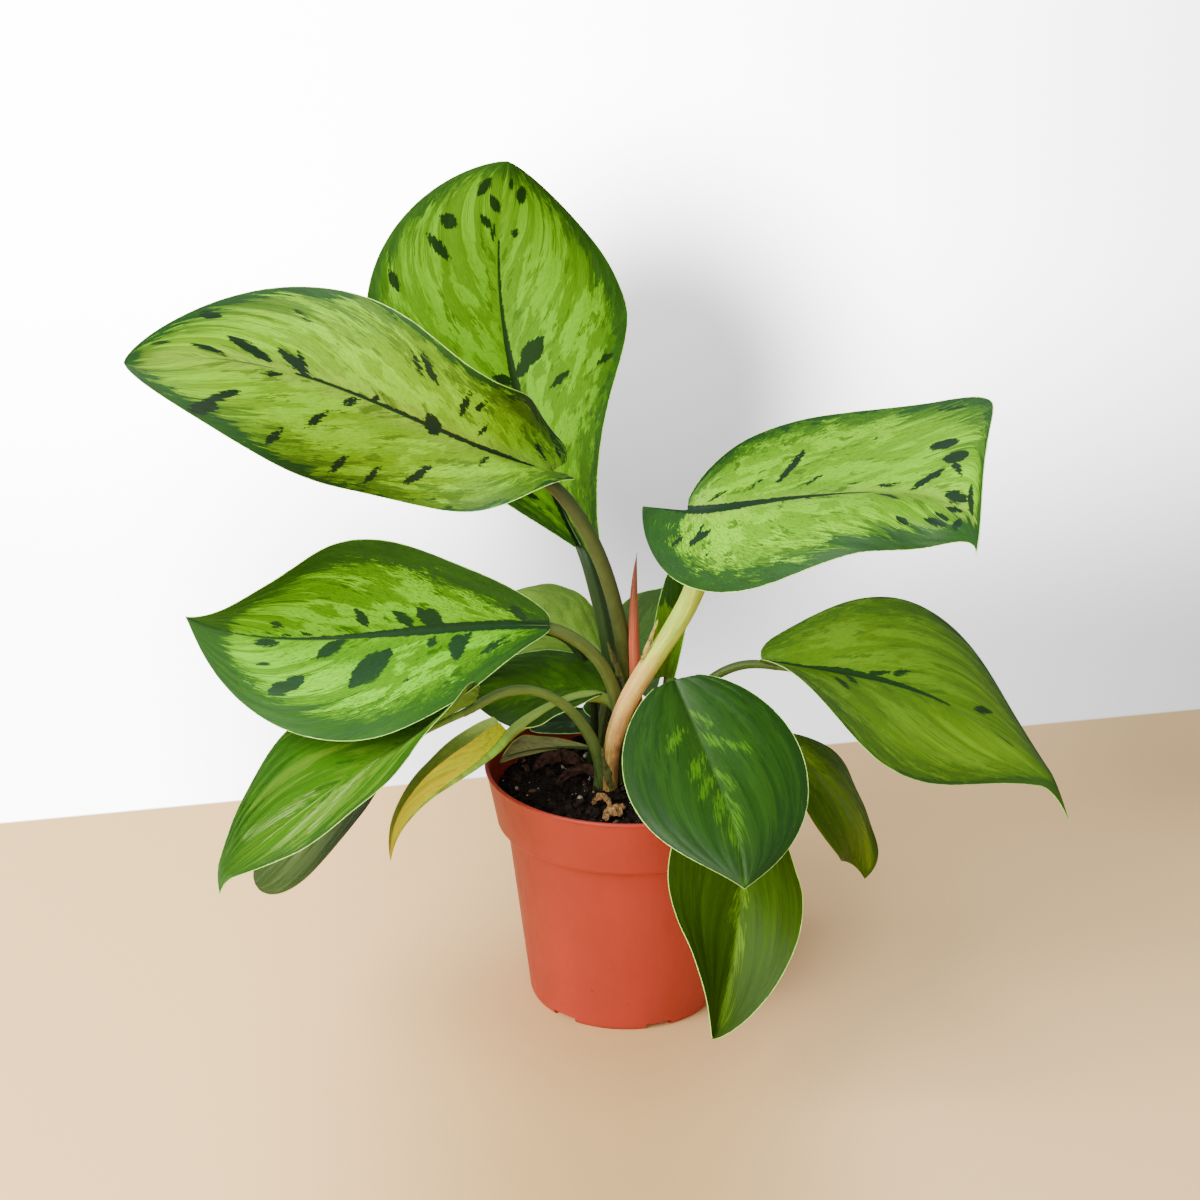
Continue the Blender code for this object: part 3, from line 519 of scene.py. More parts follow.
def between(pair, u):
    """Value that runs evenly from pair[0] at the base to pair[1] at the tip."""
    return pair[0] + (pair[1] - pair[0]) * u


def of_half(pair, v):
    """The left or the right value of a pair, by the half of the blade that v lies on."""
    return np.where(v > 0, pair[1], pair[0])


def run_along(line):
    """Distance of each point of a line from its first point, along the line."""
    return np.r_[0, np.cumsum(np.linalg.norm(np.diff(line, axis=0), axis=1))]


def on_soil(place, sunk):
    """The place moved up or down to lie this far below the soil's surface."""
    return np.array([place[0], place[1], soil_height(place[0], place[1]) - sunk])


# Blades

def blade_frame(leaf, u):
    """Point, heading, side and normal of the midrib at the shares u of its length."""
    point = bezier(leaf.midrib, u)
    heading = bezier_heading(leaf.midrib, u)
    azimuth, elevation = np.radians(leaf.face)
    level = np.cos(elevation)
    look = np.array([level * np.sin(azimuth), -level * np.cos(azimuth), np.sin(elevation)])
    normal = unit(look - (heading @ look)[..., None] * heading)
    side = np.cross(heading, normal)
    turn = np.radians(leaf.twist * (u - 0.5))[..., None]
    turned_normal = normal * np.cos(turn) + side * np.sin(turn)
    turned_side = side * np.cos(turn) - normal * np.sin(turn)
    return point, heading, turned_side, turned_normal


def outline_share(leaf, u):
    """Half width at u as a share of the widest: (u + shoulder)^base (1 - u)^point, scaled to 1."""
    peak = (leaf.base - leaf.point * leaf.shoulder) / (leaf.base + leaf.point)
    highest = (peak + leaf.shoulder)**leaf.base * (1 - peak)**leaf.point
    return (u + leaf.shoulder)**leaf.base * (1 - u)**leaf.point / highest


def base_closing(u):
    """Share of the heel that is left next to the base itself, where the outline closes."""
    return 1 - np.exp(-u / 0.012)


def half_width(leaf, u, v):
    """Reach of the half that v lies on.

    That is its outline, its heel as heel (1 - u)^7 (1 - exp(-u / 0.012)), and the dent of
    the right half as -depth exp(-((u - place) / spread)^2).
    """
    place, spread, depth = leaf.dent
    dent = of_half((0, depth), v) * np.exp(-((u - place) / spread) ** 2)
    heel = of_half(leaf.heel, v) * (1 - u) ** 7 * base_closing(u)
    return of_half(leaf.half_width, v) * outline_share(leaf, u) - dent + heel


def blade_surface(leaf, u, v):
    """Points of the blade: u runs along the midrib, v from the left margin (-1) to the right (1).

    Each half is an arc that leaves the midrib at its fold angle and bends by its curl.
    Near the base it also runs back to form the lobe and a rounded heel, and the tip hooks
    off by its tail.
    """
    u, v = np.broadcast_arrays(np.asarray(u, float), np.asarray(v, float))
    point, heading, side, normal = blade_frame(leaf, u)
    reach = np.abs(v)
    width = half_width(leaf, u, v)
    fold = np.radians(of_half((between(leaf.fold_left, u), between(leaf.fold_right, u)), v))
    curl = np.radians(of_half(leaf.curl, v))
    across = width / curl * (np.sin(fold + curl * reach) - np.sin(fold)) * np.sign(v)
    lift = width / curl * (np.cos(fold) - np.cos(fold + curl * reach))
    rounding = (1 - u)**6 * np.sin(0.8 * np.pi * reach) * base_closing(u)
    back = (of_half(leaf.lobes, v) * (1 - u)**4 * (1 - np.cos(np.pi * reach)) / 2
            + 0.8 * of_half(leaf.heel, v) * rounding)
    hook = np.clip((u - TAIL_START) / (1 - TAIL_START), 0, 1)[..., None] ** 2
    return (point + side * across[..., None] + normal * lift[..., None]
            - heading * back[..., None] + hook * np.array(leaf.tail, float))


def crease(leaf, u):
    """The midrib on the blade itself, and the direction its top side looks to."""
    return blade_surface(leaf, u, np.full_like(u, ON_RIB)), blade_frame(leaf, u)[3]


def vein_slant(leaf, u, v):
    """u - s |v| (0.6 + u): where on the midrib a straight side vein through (u, v) begins."""
    return u - leaf.sweep[0] * np.abs(v) * (0.6 + u)


def vein_start(leaf, u, v):
    """Where the side vein through (u, v) begins, once it also bends along the margin by t |v|^4."""
    return vein_slant(leaf, u, v) - leaf.sweep[1] * np.abs(v)**4


def stroke_depth(leaf, places, strokes):
    """Depth in millimetres inside the nearest stroke, below zero outside all of them.

    A stroke is a spindle between two places on the blade: its half width is full along
    its middle and falls off towards the ends as 1 - 0.7 |2t - 1|^2.
    """
    if not strokes:
        return np.full(places.shape[:-1], FAR_OUTSIDE)
    *ends, half = np.array(strokes, float).T
    u, v, end_u, end_v = (share / 100 for share in ends)
    start = blade_surface(leaf, u, v + ON_RIB)
    run = blade_surface(leaf, end_u, end_v + ON_RIB) - start
    offset = places[..., None, :] - start
    t = np.clip((offset * run).sum(-1) / (run * run).sum(-1), 0, 1)
    gap = np.linalg.norm(offset - t[..., None] * run, axis=-1)
    return (half * (1 - 0.7 * np.abs(2 * t - 1) ** 2) - gap).max(-1)


def blade_grid(rows, columns):
    """Shares u, closer together at base and tip, and v, never quite on the midrib."""
    s = np.arange(rows) / rows
    u = 0.6 * s + 0.4 * (1 - np.cos(np.pi * s)) / 2
    v = np.linspace(-1, 1, columns)
    v = np.where(np.abs(v) < 1e-9, ON_RIB, v)
    return np.broadcast_arrays(u[:, None], v[None, :])


def surface_normal(points, u, v):
    """Unit normals of a grid of points from its slopes along v and u."""
    across = np.gradient(points, v[0], axis=1)
    along = np.gradient(points, u[:, 0], axis=0)
    return unit(np.cross(across, along))


def relief(leaf, u, v, seed):
    """Rise off the smooth blade, in millimetres.

    It swells between the side veins as a cosine of the vein count, dips narrowly at each
    vein, rolls gently all over, and ripples more and more towards the margin.
    """
    reach = np.abs(v)
    phase = vein_start(leaf, u, v) * leaf.veins + 0.35 * np.sign(v)
    near = np.abs(phase - np.round(phase))
    room = np.minimum(half_width(leaf, u, v) / 12, 1) * (1 - 0.85 * ease(0.75, 0.95, u))
    swell = leaf.quilt * (0.5 - 0.5 * np.cos(2 * np.pi * phase)) * ease(0.0, 0.25, reach)
    dip = 0.35 * leaf.quilt * np.exp(-(near / 0.07) ** 2) * ease(0.02, 0.12, reach)
    roll = 0.6 * leaf.quilt * ripple(u * 9, v * 3, seed)
    edge = leaf.wave * reach ** 3 * ripple(u * 14 + 5 * np.sign(v), reach * 0.5, seed + 1)
    return (swell * (1 - 0.6 * reach ** 4) - dip + roll + edge) * room


def sheet_faces(rows, columns, tip):
    """Faces of a sheet's upper grid with its rim, and of its lower grid.

    The lower grid's points follow the upper grid's, and the last row of each closes on one
    tip point.
    """
    under = rows * columns
    i, j = np.meshgrid(np.arange(rows - 1), np.arange(columns - 1), indexing="ij")
    a = (i * columns + j).ravel()
    top = np.stack([a, a + 1, a + columns + 1, a + columns], 1)
    last = (rows - 1) * columns + np.arange(columns - 1)
    fan = np.stack([last, last + 1, np.full_like(last, tip)], 1)
    fan_under = np.stack([under + last + 1, under + last, np.full_like(last, tip)], 1)
    rim = np.concatenate([np.arange(under - columns, 0, -columns), np.arange(columns),
                          np.arange(2 * columns - 1, under, columns)])
    one, two = rim[:-1], rim[1:]
    edge = np.stack([two, one, under + one, under + two], 1)
    close = [[rim[0], tip, under + rim[0]], [tip, rim[-1], under + rim[-1]]]
    tops = top.tolist() + fan.tolist() + edge.tolist() + np.array(close).tolist()
    return tops, (top[:, ::-1] + under).tolist() + fan_under.tolist()


def tube_rings(line, radii, up, sides, shape=None):
    """Rings round a line: each starts from the direction up, made square to the line.

    shape(angle, t) scales the radius, with angle 0 on the up side and t from 0 to 1.
    """
    heading = unit(np.gradient(line, axis=0))
    first = unit(up - (up * heading).sum(-1, keepdims=True) * heading)
    second = np.cross(heading, first)
    angle = np.arange(sides) * 2 * np.pi / sides
    t = np.linspace(0, 1, len(line))[:, None]
    radius = np.asarray(radii, float)[:, None] * np.ones(sides)
    if shape is not None:
        radius = radius * shape(angle[None, :], t)
    ring = first[:, None] * np.cos(angle)[:, None] + second[:, None] * np.sin(angle)[:, None]
    return line[:, None] + ring * radius[..., None]


def tube_faces(count, sides, start=0):
    """Faces of a closed tube of rings, its two ends filled."""
    i, k = np.meshgrid(np.arange(count - 1), np.arange(sides), indexing="ij")
    a = (start + i * sides + k).ravel()
    b = (start + i * sides + (k + 1) % sides).ravel()
    wall = np.stack([a, b, b + sides, a + sides], 1).tolist()
    ends = [list(range(start, start + sides))[::-1],
            list(range(start + (count - 1) * sides, start + count * sides))]
    return wall + ends


def tube_grain(along, around, t):
    """Field of a tube: run along it, place round it, and share of its length."""
    rings, sides = len(along), len(around)
    grain = np.empty((rings, sides, 3))
    grain[..., 0] = along[:, None]
    grain[..., 1] = around
    grain[..., 2] = t[:, None]
    return grain.reshape(-1, 3)


def put(name, data):
    """A new object in the scene with this data."""
    thing = bpy.data.objects.new(name, data)
    bpy.context.scene.collection.objects.link(thing)
    return thing


def build(name, node, points, faces, materials, which=None, fields=None, sharp=60):
    """Makes a piece from points in millimetres, with a material index for each face.

    fields holds vectors on the points, by name, for its materials to read. Edges sharper
    than sharp are drawn as edges.
    """
    mesh = bpy.data.meshes.new(name)
    mesh.from_pydata((np.asarray(points) * MM).tolist(), [], faces)
    for material in materials:
        mesh.materials.append(material)
    if which is not None:
        mesh.polygons.foreach_set("material_index", np.asarray(which, np.int32))
    for key, values in (fields or {}).items():
        layer = mesh.attributes.new(key, "FLOAT_VECTOR", "POINT")
        layer.data.foreach_set("vector", np.asarray(values, np.float32).ravel())
    mesh.shade_smooth()
    mesh.set_sharp_from_angle(angle=np.radians(sharp))
    mesh.update()
    piece = put(name, mesh)
    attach(piece, "root")
    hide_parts(node)


def rib_depth(leaf, u, radius):
    """How far below the midrib's crease the rib's axis lies.

    Under a blade that rises from its midrib the rib touches the crease; under one that
    falls away like a roof it sits lower, where it just touches the slopes.
    """
    lower = np.minimum(between(leaf.fold_left, u), between(leaf.fold_right, u))
    fall = np.radians(np.clip(-lower, 0, 50))
    rise = np.radians(np.clip(lower, 0, 60))
    middle = ease(0.08, 0.25, u) * (1 - ease(0.55, 0.75, u))
    raised = 0.6 * np.sin(rise) * middle + 1.5 * np.sin(rise) ** 3
    return radius * 0.98 / np.cos(fall) + 0.3 - raised


def blade_rib(leaf):
    """Shares u and rings of the rib beneath the blade, which thins out towards rib_end."""
    u = np.linspace(0.0, leaf.rib_end, RIB_RINGS)
    line, normal = crease(leaf, u)
    first = (leaf.stalk_radii[1] if leaf.stalk else 1.0) * RIB_SHARE
    radius = RIB_TIP_RADIUS + (first - RIB_TIP_RADIUS) * (1 - u / leaf.rib_end) ** 1.5
    line = line - normal * rib_depth(leaf, u, radius)[:, None]
    return u, tube_rings(line, radius, normal, RIB_SIDES)


def blade_sheet(leaf, u, v, seed):
    """Middle, top and underside of the blade as grids of points.

    The crease is eased where it is nearer than about 1.6 mm to the midrib. The thickness
    falls to 0.55 of the full one over the last 4 mm, and a channel 0.35 exp(-(gap / 0.9)^2)
    deep runs down the midrib.
    """
    middle = blade_surface(leaf, u, v)
    width = half_width(leaf, u, v)
    rib_gap = np.abs(v) * width
    soften = np.exp(-(rib_gap / 1.6) ** 2)[:, 1:-1, None]
    for _ in range(4):
        beside = (middle[:, :-2] + middle[:, 2:]) / 2
        middle[:, 1:-1] += 0.5 * soften * (beside - middle[:, 1:-1])
    middle = middle + surface_normal(middle, u, v) * relief(leaf, u, v, seed)[..., None]
    normal = surface_normal(middle, u, v)
    thick = BLADE_THICKNESS * (0.55 + 0.45 * ease(0, 4, (1 - np.abs(v)) * width))
    channel = 0.35 * np.exp(-(rib_gap / 0.9) ** 2) * ease(0, 3, width - 1)
    top = middle + normal * (thick / 2 - channel)[..., None]
    return middle, top, middle - normal * (thick / 2)[..., None]


def dark_band(leaf, u, v, edge_gap, length):
    """Depth in millimetres inside the dark margin or the dark tip, below zero outside them."""
    past_tip = (u - leaf.dark_tip) * length
    if not any(leaf.margins[0] + leaf.margins[1]):
        return np.full(u.shape, NO_BAND) if leaf.dark_tip > 1 else past_tip
    depths = [np.interp(u, np.linspace(0, 1, len(side)), side) for side in leaf.margins]
    return np.maximum(of_half(depths, v) - edge_gap, past_tip)


def blade_fields(leaf, u, v, middle, length):
    """What a blade's finish reads at each point, in millimetres.

    grain  gap to the midrib, where the side vein begins, and a shift between the halves
    patch  the same, with straight side veins
    marks  depth inside the blotches, the dark band and the flecks
    place  gap to the midrib, gap to the margin or tip, and depth inside the midrib's line
    """
    width = half_width(leaf, u, v)
    rib_gap, edge_gap = np.abs(v) * width, (1 - np.abs(v)) * width
    shift = of_half((HALVES_APART, 0.0), v)
    line = np.interp(u, *np.array(leaf.rib).T) - rib_gap
    return {
        "grain": np.stack([rib_gap, vein_start(leaf, u, v) * length + shift, shift], -1),
        "patch": np.stack([rib_gap, vein_slant(leaf, u, v) * length + shift, shift], -1),
        "marks": np.stack([stroke_depth(leaf, middle, leaf.blotches),
                           dark_band(leaf, u, v, edge_gap, length),
                           stroke_depth(leaf, middle, leaf.flecks)], -1),
        "place": np.stack([rib_gap, np.minimum(edge_gap, (1 - u) * length), line], -1)}


def add_blade(leaf, seed):
    """The blade as a closed sheet, and the rib that stands proud beneath it."""
    rows, columns = FINE_GRID if max(leaf.half_width) > LARGE_HALF else COARSE_GRID
    u, v = blade_grid(rows, columns)
    middle, top, bottom = blade_sheet(leaf, u, v, seed)
    tip = blade_surface(leaf, np.array([1.0]), np.array([ON_RIB]))
    rib_u, rings = blade_rib(leaf)
    points = np.concatenate([part.reshape(-1, 3) for part in (top, bottom, tip, rings)])
    tops, bottoms = sheet_faces(rows, columns, 2 * rows * columns)
    ribs = tube_faces(len(rib_u), RIB_SIDES, 2 * rows * columns + 1)

    length = run_along(bezier(leaf.midrib, np.linspace(0, 1, 40)))[-1]
    at_tip = {"grain": (0, length, 0), "patch": (0, length, 0),
              "marks": (FAR_OUTSIDE, 0, FAR_OUTSIDE), "place": (0, 0, FAR_OUTSIDE)}
    on_rib = np.zeros((rings.size // 3, 3))
    on_rib[:, 1] = np.repeat(rib_u, RIB_SIDES) * length
    fields = {}
    for key, values in blade_fields(leaf, u, v, middle, length).items():
        flat = values.reshape(-1, 3)
        fields[key] = np.concatenate([flat, flat, [at_tip[key]], on_rib])

    skin = SKINS[leaf.skin]
    materials = [blade_material("blade_" + leaf.name, skin),
                 underside_material("underside_" + leaf.name, skin),
                 shared(rib_material, leaf.stalk_skin)]
    which = [0] * len(tops) + [1] * len(bottoms) + [2] * len(ribs)
    build("blade_" + leaf.name, "leaf_" + leaf.name, points, tops + bottoms + ribs, materials,
          which, fields, sharp=50)


# Stalks

def stalk_line(leaf):
    """Centre line of the stalk, bent smoothly into the rib beneath the blade's base."""
    point, heading, _, normal = blade_frame(leaf, np.array([0.0]))
    rib_radius = leaf.stalk_radii[1] * RIB_SHARE
    top = point[0] - normal[0] * rib_depth(leaf, 0.0, rib_radius) - heading[0] * 0.3
    curve = (on_soil(leaf.stalk[0], STALK_SUNK), leaf.stalk[1], leaf.stalk[2], top)
    stalk = bezier(curve, np.linspace(0, 1, 60))
    rib_u = np.linspace(*STALK_JOIN, 6)
    spine, below = crease(leaf, rib_u)
    spine = spine - below * rib_depth(leaf, rib_u, rib_radius)[:, None]
    line = np.concatenate([stalk[:-2], spine])
    run = run_along(line)
    even = np.linspace(0, run[-1], STALK_RINGS)
    line = np.stack([np.interp(even, run, line[:, axis]) for axis in range(3)], 1)
    for _ in range(10):
        line[1:-1] = (line[:-2] + 2 * line[1:-1] + line[2:]) / 4
    return line, normal[0]


def stalk_section(angle, t):
    """Scale of the stalk's radius at an angle from its upper side and a share t of its length.

    A shallow channel runs above, with two low wings beside it towards the foot, where the
    stalk sheathes the next one.
    """
    turn = np.abs((angle + np.pi) % (2 * np.pi) - np.pi)
    channel = -(0.16 + 0.10 * (1 - t)) * np.exp(-(turn / 0.40) ** 2)
    wing = 0.16 * (1 - ease(0.25, 0.55, t)) * np.exp(-((turn - 0.75) / 0.22) ** 2)
    return 1 + channel + wing


def add_stalk(leaf, seed):
    """The stalk: it tapers from foot to top, narrows into the rib and ends in a blunt point."""
    line, up = stalk_line(leaf)
    t = np.linspace(0, 1, STALK_RINGS)
    radii = between(leaf.stalk_radii, t) * (1 + 0.025 * ripple(t * 16, t * 3, seed))
    radii = radii * (1 - (1 - RIB_SHARE) * ease(0.85, 0.96, t)) * (1 - 0.5 * ease(0.97, 1.0, t))
    centre = unit(up + np.array([0.0, 0.0, 0.3]))
    rings = tube_rings(line, radii, centre, STALK_SIDES, stalk_section)
    grain = tube_grain(run_along(line), np.arange(STALK_SIDES), t)
    node = "stalk_" + leaf.name
    build(node + "_fine", node, rings.reshape(-1, 3), tube_faces(STALK_RINGS, STALK_SIDES),
          [shared(stalk_material, leaf.stalk_skin)], fields={"grain": grain}, sharp=70)


# Materials

class Graph:
    """Adds nodes to one node tree and links them; sockets and plain values mix freely."""

    def __init__(self, tree):
        self.tree = tree

    def add(self, kind, inputs=(), **settings):
        node = self.tree.nodes.new(kind)
        for key, value in settings.items():
            setattr(node, key, value)
        for key, value in dict(inputs).items():
            self.feed(node.inputs[key], value)
        return node

    def feed(self, socket, value):
        if isinstance(value, bpy.types.NodeSocket):
            self.tree.links.new(value, socket)
        else:
            socket.default_value = value

    def math(self, operation, a, b=0.0):
        return self.add("ShaderNodeMath", {0: a, 1: b}, operation=operation).outputs[0]

    def times(self, *values):
        return reduce(lambda a, b: self.math("MULTIPLY", a, b), values)

    def total(self, *values):
        return reduce(lambda a, b: self.math("ADD", a, b), values)

    def spread(self, noise, amount):
        """The noise made to swing about 0 by this amount in all."""
        return self.times(self.math("SUBTRACT", noise, 0.5), amount)

    def mix(self, share, a, b, blend="MIX"):
        node = self.add("ShaderNodeMix", data_type="RGBA", blend_type=blend)
        for label, value in (("Factor", share), ("A", a), ("B", b)):
            self.feed(node.inputs[label], value)
        return node.outputs["Result"]

    def step(self, value, low, high, to_low=0.0, to_high=1.0):
        """Smooth step of value between low and high."""
        node = self.add("ShaderNodeMapRange", {"Value": value, "From Min": low, "From Max": high,
                                               "To Min": to_low, "To Max": to_high},
                        interpolation_type="SMOOTHSTEP")
        return node.outputs["Result"]

    def cover(self, colour, value, low, high, top, most=1.0):
        """The colour, covered with the top colour by up to most as value goes from low to high."""
        return self.mix(self.step(value, low, high, 0.0, most), colour, top)

    def grey(self, tone):
        return self.add("ShaderNodeCombineColor", {0: tone, 1: tone, 2: tone}).outputs[0]

    def toned(self, colour, tone):
        """The colour made darker or lighter by the tone."""
        return self.mix(1.0, colour, self.grey(tone), "MULTIPLY")

    def noise(self, vector, cells, detail=3.0, rough=0.55, warp=0.0):
        """Noise with this many cells to the unit, in all directions or along each axis."""
        stretch = np.broadcast_to(np.array(cells, float), 3).tolist()
        sized = self.add("ShaderNodeVectorMath", {0: vector, 1: stretch}, operation="MULTIPLY")
        node = self.add("ShaderNodeTexNoise", {"Vector": sized.outputs[0], "Scale": 1.0,
                                               "Detail": detail, "Roughness": rough,
                                               "Distortion": warp})
        return node.outputs["Fac"]

    def field(self, name):
        return self.add("ShaderNodeAttribute", attribute_name=name).outputs["Vector"]

    def place(self):
        return self.add("ShaderNodeTexCoord").outputs["Object"]

    def parts(self, vector):
        return self.add("ShaderNodeSeparateXYZ", {0: vector}).outputs


def new_group(name, colours, amounts=()):
    """A node group that takes these named colours and amounts, and gives Color and Height."""
    tree = bpy.data.node_groups.new(name, "ShaderNodeTree")
    sockets = [(label, "INPUT", "NodeSocketColor") for label in colours]
    sockets += [(label, "INPUT", "NodeSocketFloat") for label in amounts]
    sockets += [("Color", "OUTPUT", "NodeSocketColor"), ("Height", "OUTPUT", "NodeSocketFloat")]
    for label, way, kind in sockets:
        tree.interface.new_socket(label, in_out=way, socket_type=kind)
    graph = Graph(tree)
    return graph, graph.add("NodeGroupInput").outputs, graph.add("NodeGroupOutput").inputs


def leaf_colour_group():
    """Colour of a blade from its own fields.

    The field is mixed from a light ground, patches drawn out along the side veins and
    deeper clouds that gather towards the margin. The dark band breaks up into tongues and
    dashes, the blotches keep crisp torn edges, light flecks lie over them, and the rim
    ends in a thin pale line.
    """
    graph, source, sink = new_group("leaf colour", SKIN_COLOURS, SKIN_AMOUNTS)
    step, times, total, spread = graph.step, graph.times, graph.total, graph.spread
    grain = graph.field("grain")
    patch = graph.field("patch")
    marks = graph.parts(graph.field("marks"))
    place = graph.parts(graph.field("place"))
    rib_gap, edge_gap = place["X"], place["Y"]
    wide = graph.noise(patch, (0.075, 0.068, 1.0), 5.0, 0.60, 0.3)
    clouds = graph.noise(patch, (0.14, 0.115, 1.3), 5.0, 0.62, 0.3)
    lumps = graph.noise(patch, (0.17, 0.115, 1.7), 4.0, 0.60, 0.3)
    torn = graph.noise(patch, (0.46, 0.34, 1.1), 5.0, 0.66, 0.3)
    cells = graph.noise(patch, (1.3, 1.7, 1.0), 3.0, 0.65)
    fine = graph.noise(patch, (0.7, 1.0, 1.0), 4.0, 0.75)
    hatch = graph.noise(grain, (0.40, 0.95, 1.0), 3.0, 0.6)
    threads = graph.noise(grain, (0.07, 1.5, 1.9), 2.0, 0.6)

    streak = step(total(wide, spread(hatch, 0.16)), 0.475, 0.525)
    # The rib zone: a paler band beside the midrib, partly the leaf's own and partly a painted
    # sheen.
    near_rib = times(step(rib_gap, 12.0, 1.0), source["Rib Zone"])
    ragged_rib = step(total(near_rib, spread(clouds, 1.8)), 0.10, 0.60)
    gather = times(step(edge_gap, 18.0, 1.0, -0.025, 0.12), source["Zone"])
    cloud = step(total(clouds, gather, spread(hatch, 0.30)), 0.545, 0.585)
    line = step(total(threads, step(edge_gap, 16.0, 2.0, -0.05, 0.04)), 0.61, 0.67, 0.0, 0.5)
    net = total(times(cells, 0.6), times(hatch, 0.4), step(edge_gap, 24.0, 3.0, -0.035, 0.065))
    colour = source["Light"]
    for mask, amount, top in ((streak, source["Streaks"], "Streak"),
                              (ragged_rib, near_rib, "Rib"),
                              (cloud, source["Clouds"], "Cloud"),
                              (line, source["Clouds"], "Margin"),
                              (step(net, 0.505, 0.555), source["Weave"], "Margin")):
        colour = graph.mix(times(mask, amount), colour, source[top])

    ragged = total(spread(hatch, source["Hatch"]), spread(lumps, source["Lump"]),
                   spread(torn, times(source["Lump"], 0.4)))
    band = graph.cover(source["Margin"], clouds, 0.42, 0.60, source["Dark"], 0.30)
    colour = graph.cover(colour, total(marks["Y"], ragged), -0.30, 0.30, band)
    crisp = step(total(marks["X"], spread(torn, 5.0), spread(cells, 1.8)), -0.12, 0.12)
    rib_line = step(total(place["Z"], spread(torn, 2.5)), -0.15, 0.15)
    colour = graph.mix(graph.math("MAXIMUM", crisp, rib_line), colour, source["Dark"])

    patchy = total(spread(hatch, 8.0), spread(torn, 16.0), spread(cells, 6.0))
    colour = graph.cover(colour, total(marks["Z"], patchy), -0.9, 1.1, source["Fleck"], 0.75)
    grime = times(step(cells, 0.38, 0.62, 0.90, 1.07), step(fine, 0.38, 0.62, 0.86, 1.10))
    colour = graph.toned(colour, grime)
    rim = graph.math("SUBTRACT", source["Edge Width"], total(edge_gap, spread(torn, 0.8)))
    graph.feed(sink["Color"], graph.cover(colour, rim, -0.10, 0.10, source["Edge"]))
    graph.feed(sink["Height"], total(times(cells, 0.5), times(hatch, 0.5)))
    return graph.tree


def stalk_colour_group():
    """Colour of a stalk: foot, middle and top colours along it, with fine fibres and spots."""
    graph, source, sink = new_group("stalk colour", STALK_COLOURS)
    grain = graph.field("grain")
    fibres = graph.noise(grain, (0.05, 1.6, 1.0), 3.0, 0.6)
    blots = graph.noise(grain, (0.12, 0.25, 1.0), 3.0, 0.6)
    along = graph.total(graph.parts(grain)["Z"], graph.spread(blots, 0.25))
    colour = graph.cover(source["Foot"], along, 0.06, 0.28, source["Middle"])
    colour = graph.cover(colour, along, 0.32, 0.58, source["Top"])
    colour = graph.cover(colour, fibres, 0.46, 0.66, source["Fibre"], 0.55)
    colour = graph.toned(colour, graph.step(blots, 0.35, 0.65, 0.88, 1.05))
    graph.feed(sink["Color"], colour)
    graph.feed(sink["Height"], fibres)
    return graph.tree


def new_material(name, roughness=0.5, specular=0.4, coat=0.0):
    """A material, the inputs of its Principled shader, and the graph that adds nodes beside it."""
    material = bpy.data.materials.new(name)
    material.use_nodes = True
    shader = material.node_tree.nodes["Principled BSDF"].inputs
    shader["Roughness"].default_value = roughness
    shader["Specular IOR Level"].default_value = specular
    shader["Coat Weight"].default_value = coat
    return material, shader, Graph(material.node_tree)


def finish(graph, shader, colour, height, strength, distance):
    """Gives the shader its colour and a bump: height, strength, and distance in metres."""
    graph.feed(shader["Base Color"], colour)
    bump = graph.add("ShaderNodeBump", {"Strength": strength, "Distance": distance,
                                        "Height": height})
    graph.feed(shader["Normal"], bump.outputs["Normal"])


def skin_colours(graph, skin):
    """The leaf colour group with the skin's colours and amounts on its sockets."""
    group = graph.add("ShaderNodeGroup", node_tree=shared(leaf_colour_group))
    for label in SKIN_COLOURS:
        group.inputs[label].default_value = paint(*getattr(skin, label.lower()), LEAF_SHEEN)
    for label in SKIN_AMOUNTS:
        field = label.lower().replace(" ", "_")
        group.inputs[label].default_value = getattr(skin, field)
    return group.outputs["Color"], group.outputs["Height"]


def blade_material(name, skin):
    """Waxy top side of a blade."""
    material, shader, graph = new_material(name, specular=skin.specular, coat=skin.coat)
    shader["Coat Roughness"].default_value = 0.4
    colour, height = skin_colours(graph, skin)
    finish(graph, shader, colour, height, 0.35, 0.0002)
    worn = graph.step(height, 0.3, 0.7, skin.roughness - 0.03, skin.roughness + 0.06)
    graph.feed(shader["Roughness"], worn)
    return material


def underside_material(name, skin):
    """Paler, duller underside of a blade, on which the top's marks only just show."""
    material, shader, graph = new_material(name, roughness=0.62, specular=0.1)
    under = np.array(skin.under)
    faint = replace(skin, light=under, streak=under * 1.08, cloud=under * 0.92,
                    margin=under * 0.84, dark=under * 0.80, fleck=under * 1.12,
                    rib=under * 1.06, streaks=0.5, clouds=0.5, rib_zone=0.5, zone=0.5, weave=0.15)
    finish(graph, shader, *skin_colours(graph, faint), 0.5, 0.0003)
    return material


def stalk_material(skin):
    """Skin of a stalk, from its foot to its top."""
    material, shader, graph = new_material("stalk_" + skin, roughness=0.45, specular=0.35)
    group = graph.add("ShaderNodeGroup", node_tree=shared(stalk_colour_group))
    for label, value in zip(STALK_COLOURS, STALK_SKINS[skin]):
        group.inputs[label].default_value = paint(*value, LEAF_SHEEN)
    finish(graph, shader, group.outputs["Color"], group.outputs["Height"], 0.4, 0.0003)
    return material


def rib_material(skin):
    """The rib beneath a blade: the stalk's top colour, with fibres along it."""
    material, shader, graph = new_material("rib_" + skin, roughness=0.5, specular=0.3)
    fibres = graph.noise(graph.field("grain"), (0.2, 0.15, 1.0))
    top = np.array(STALK_SKINS[skin][2])
    colour = graph.cover(paint(*top), fibres, 0.35, 0.65, paint(*(top * 1.12)))
    finish(graph, shader, colour, fibres, 0.3, 0.0003)
    return material


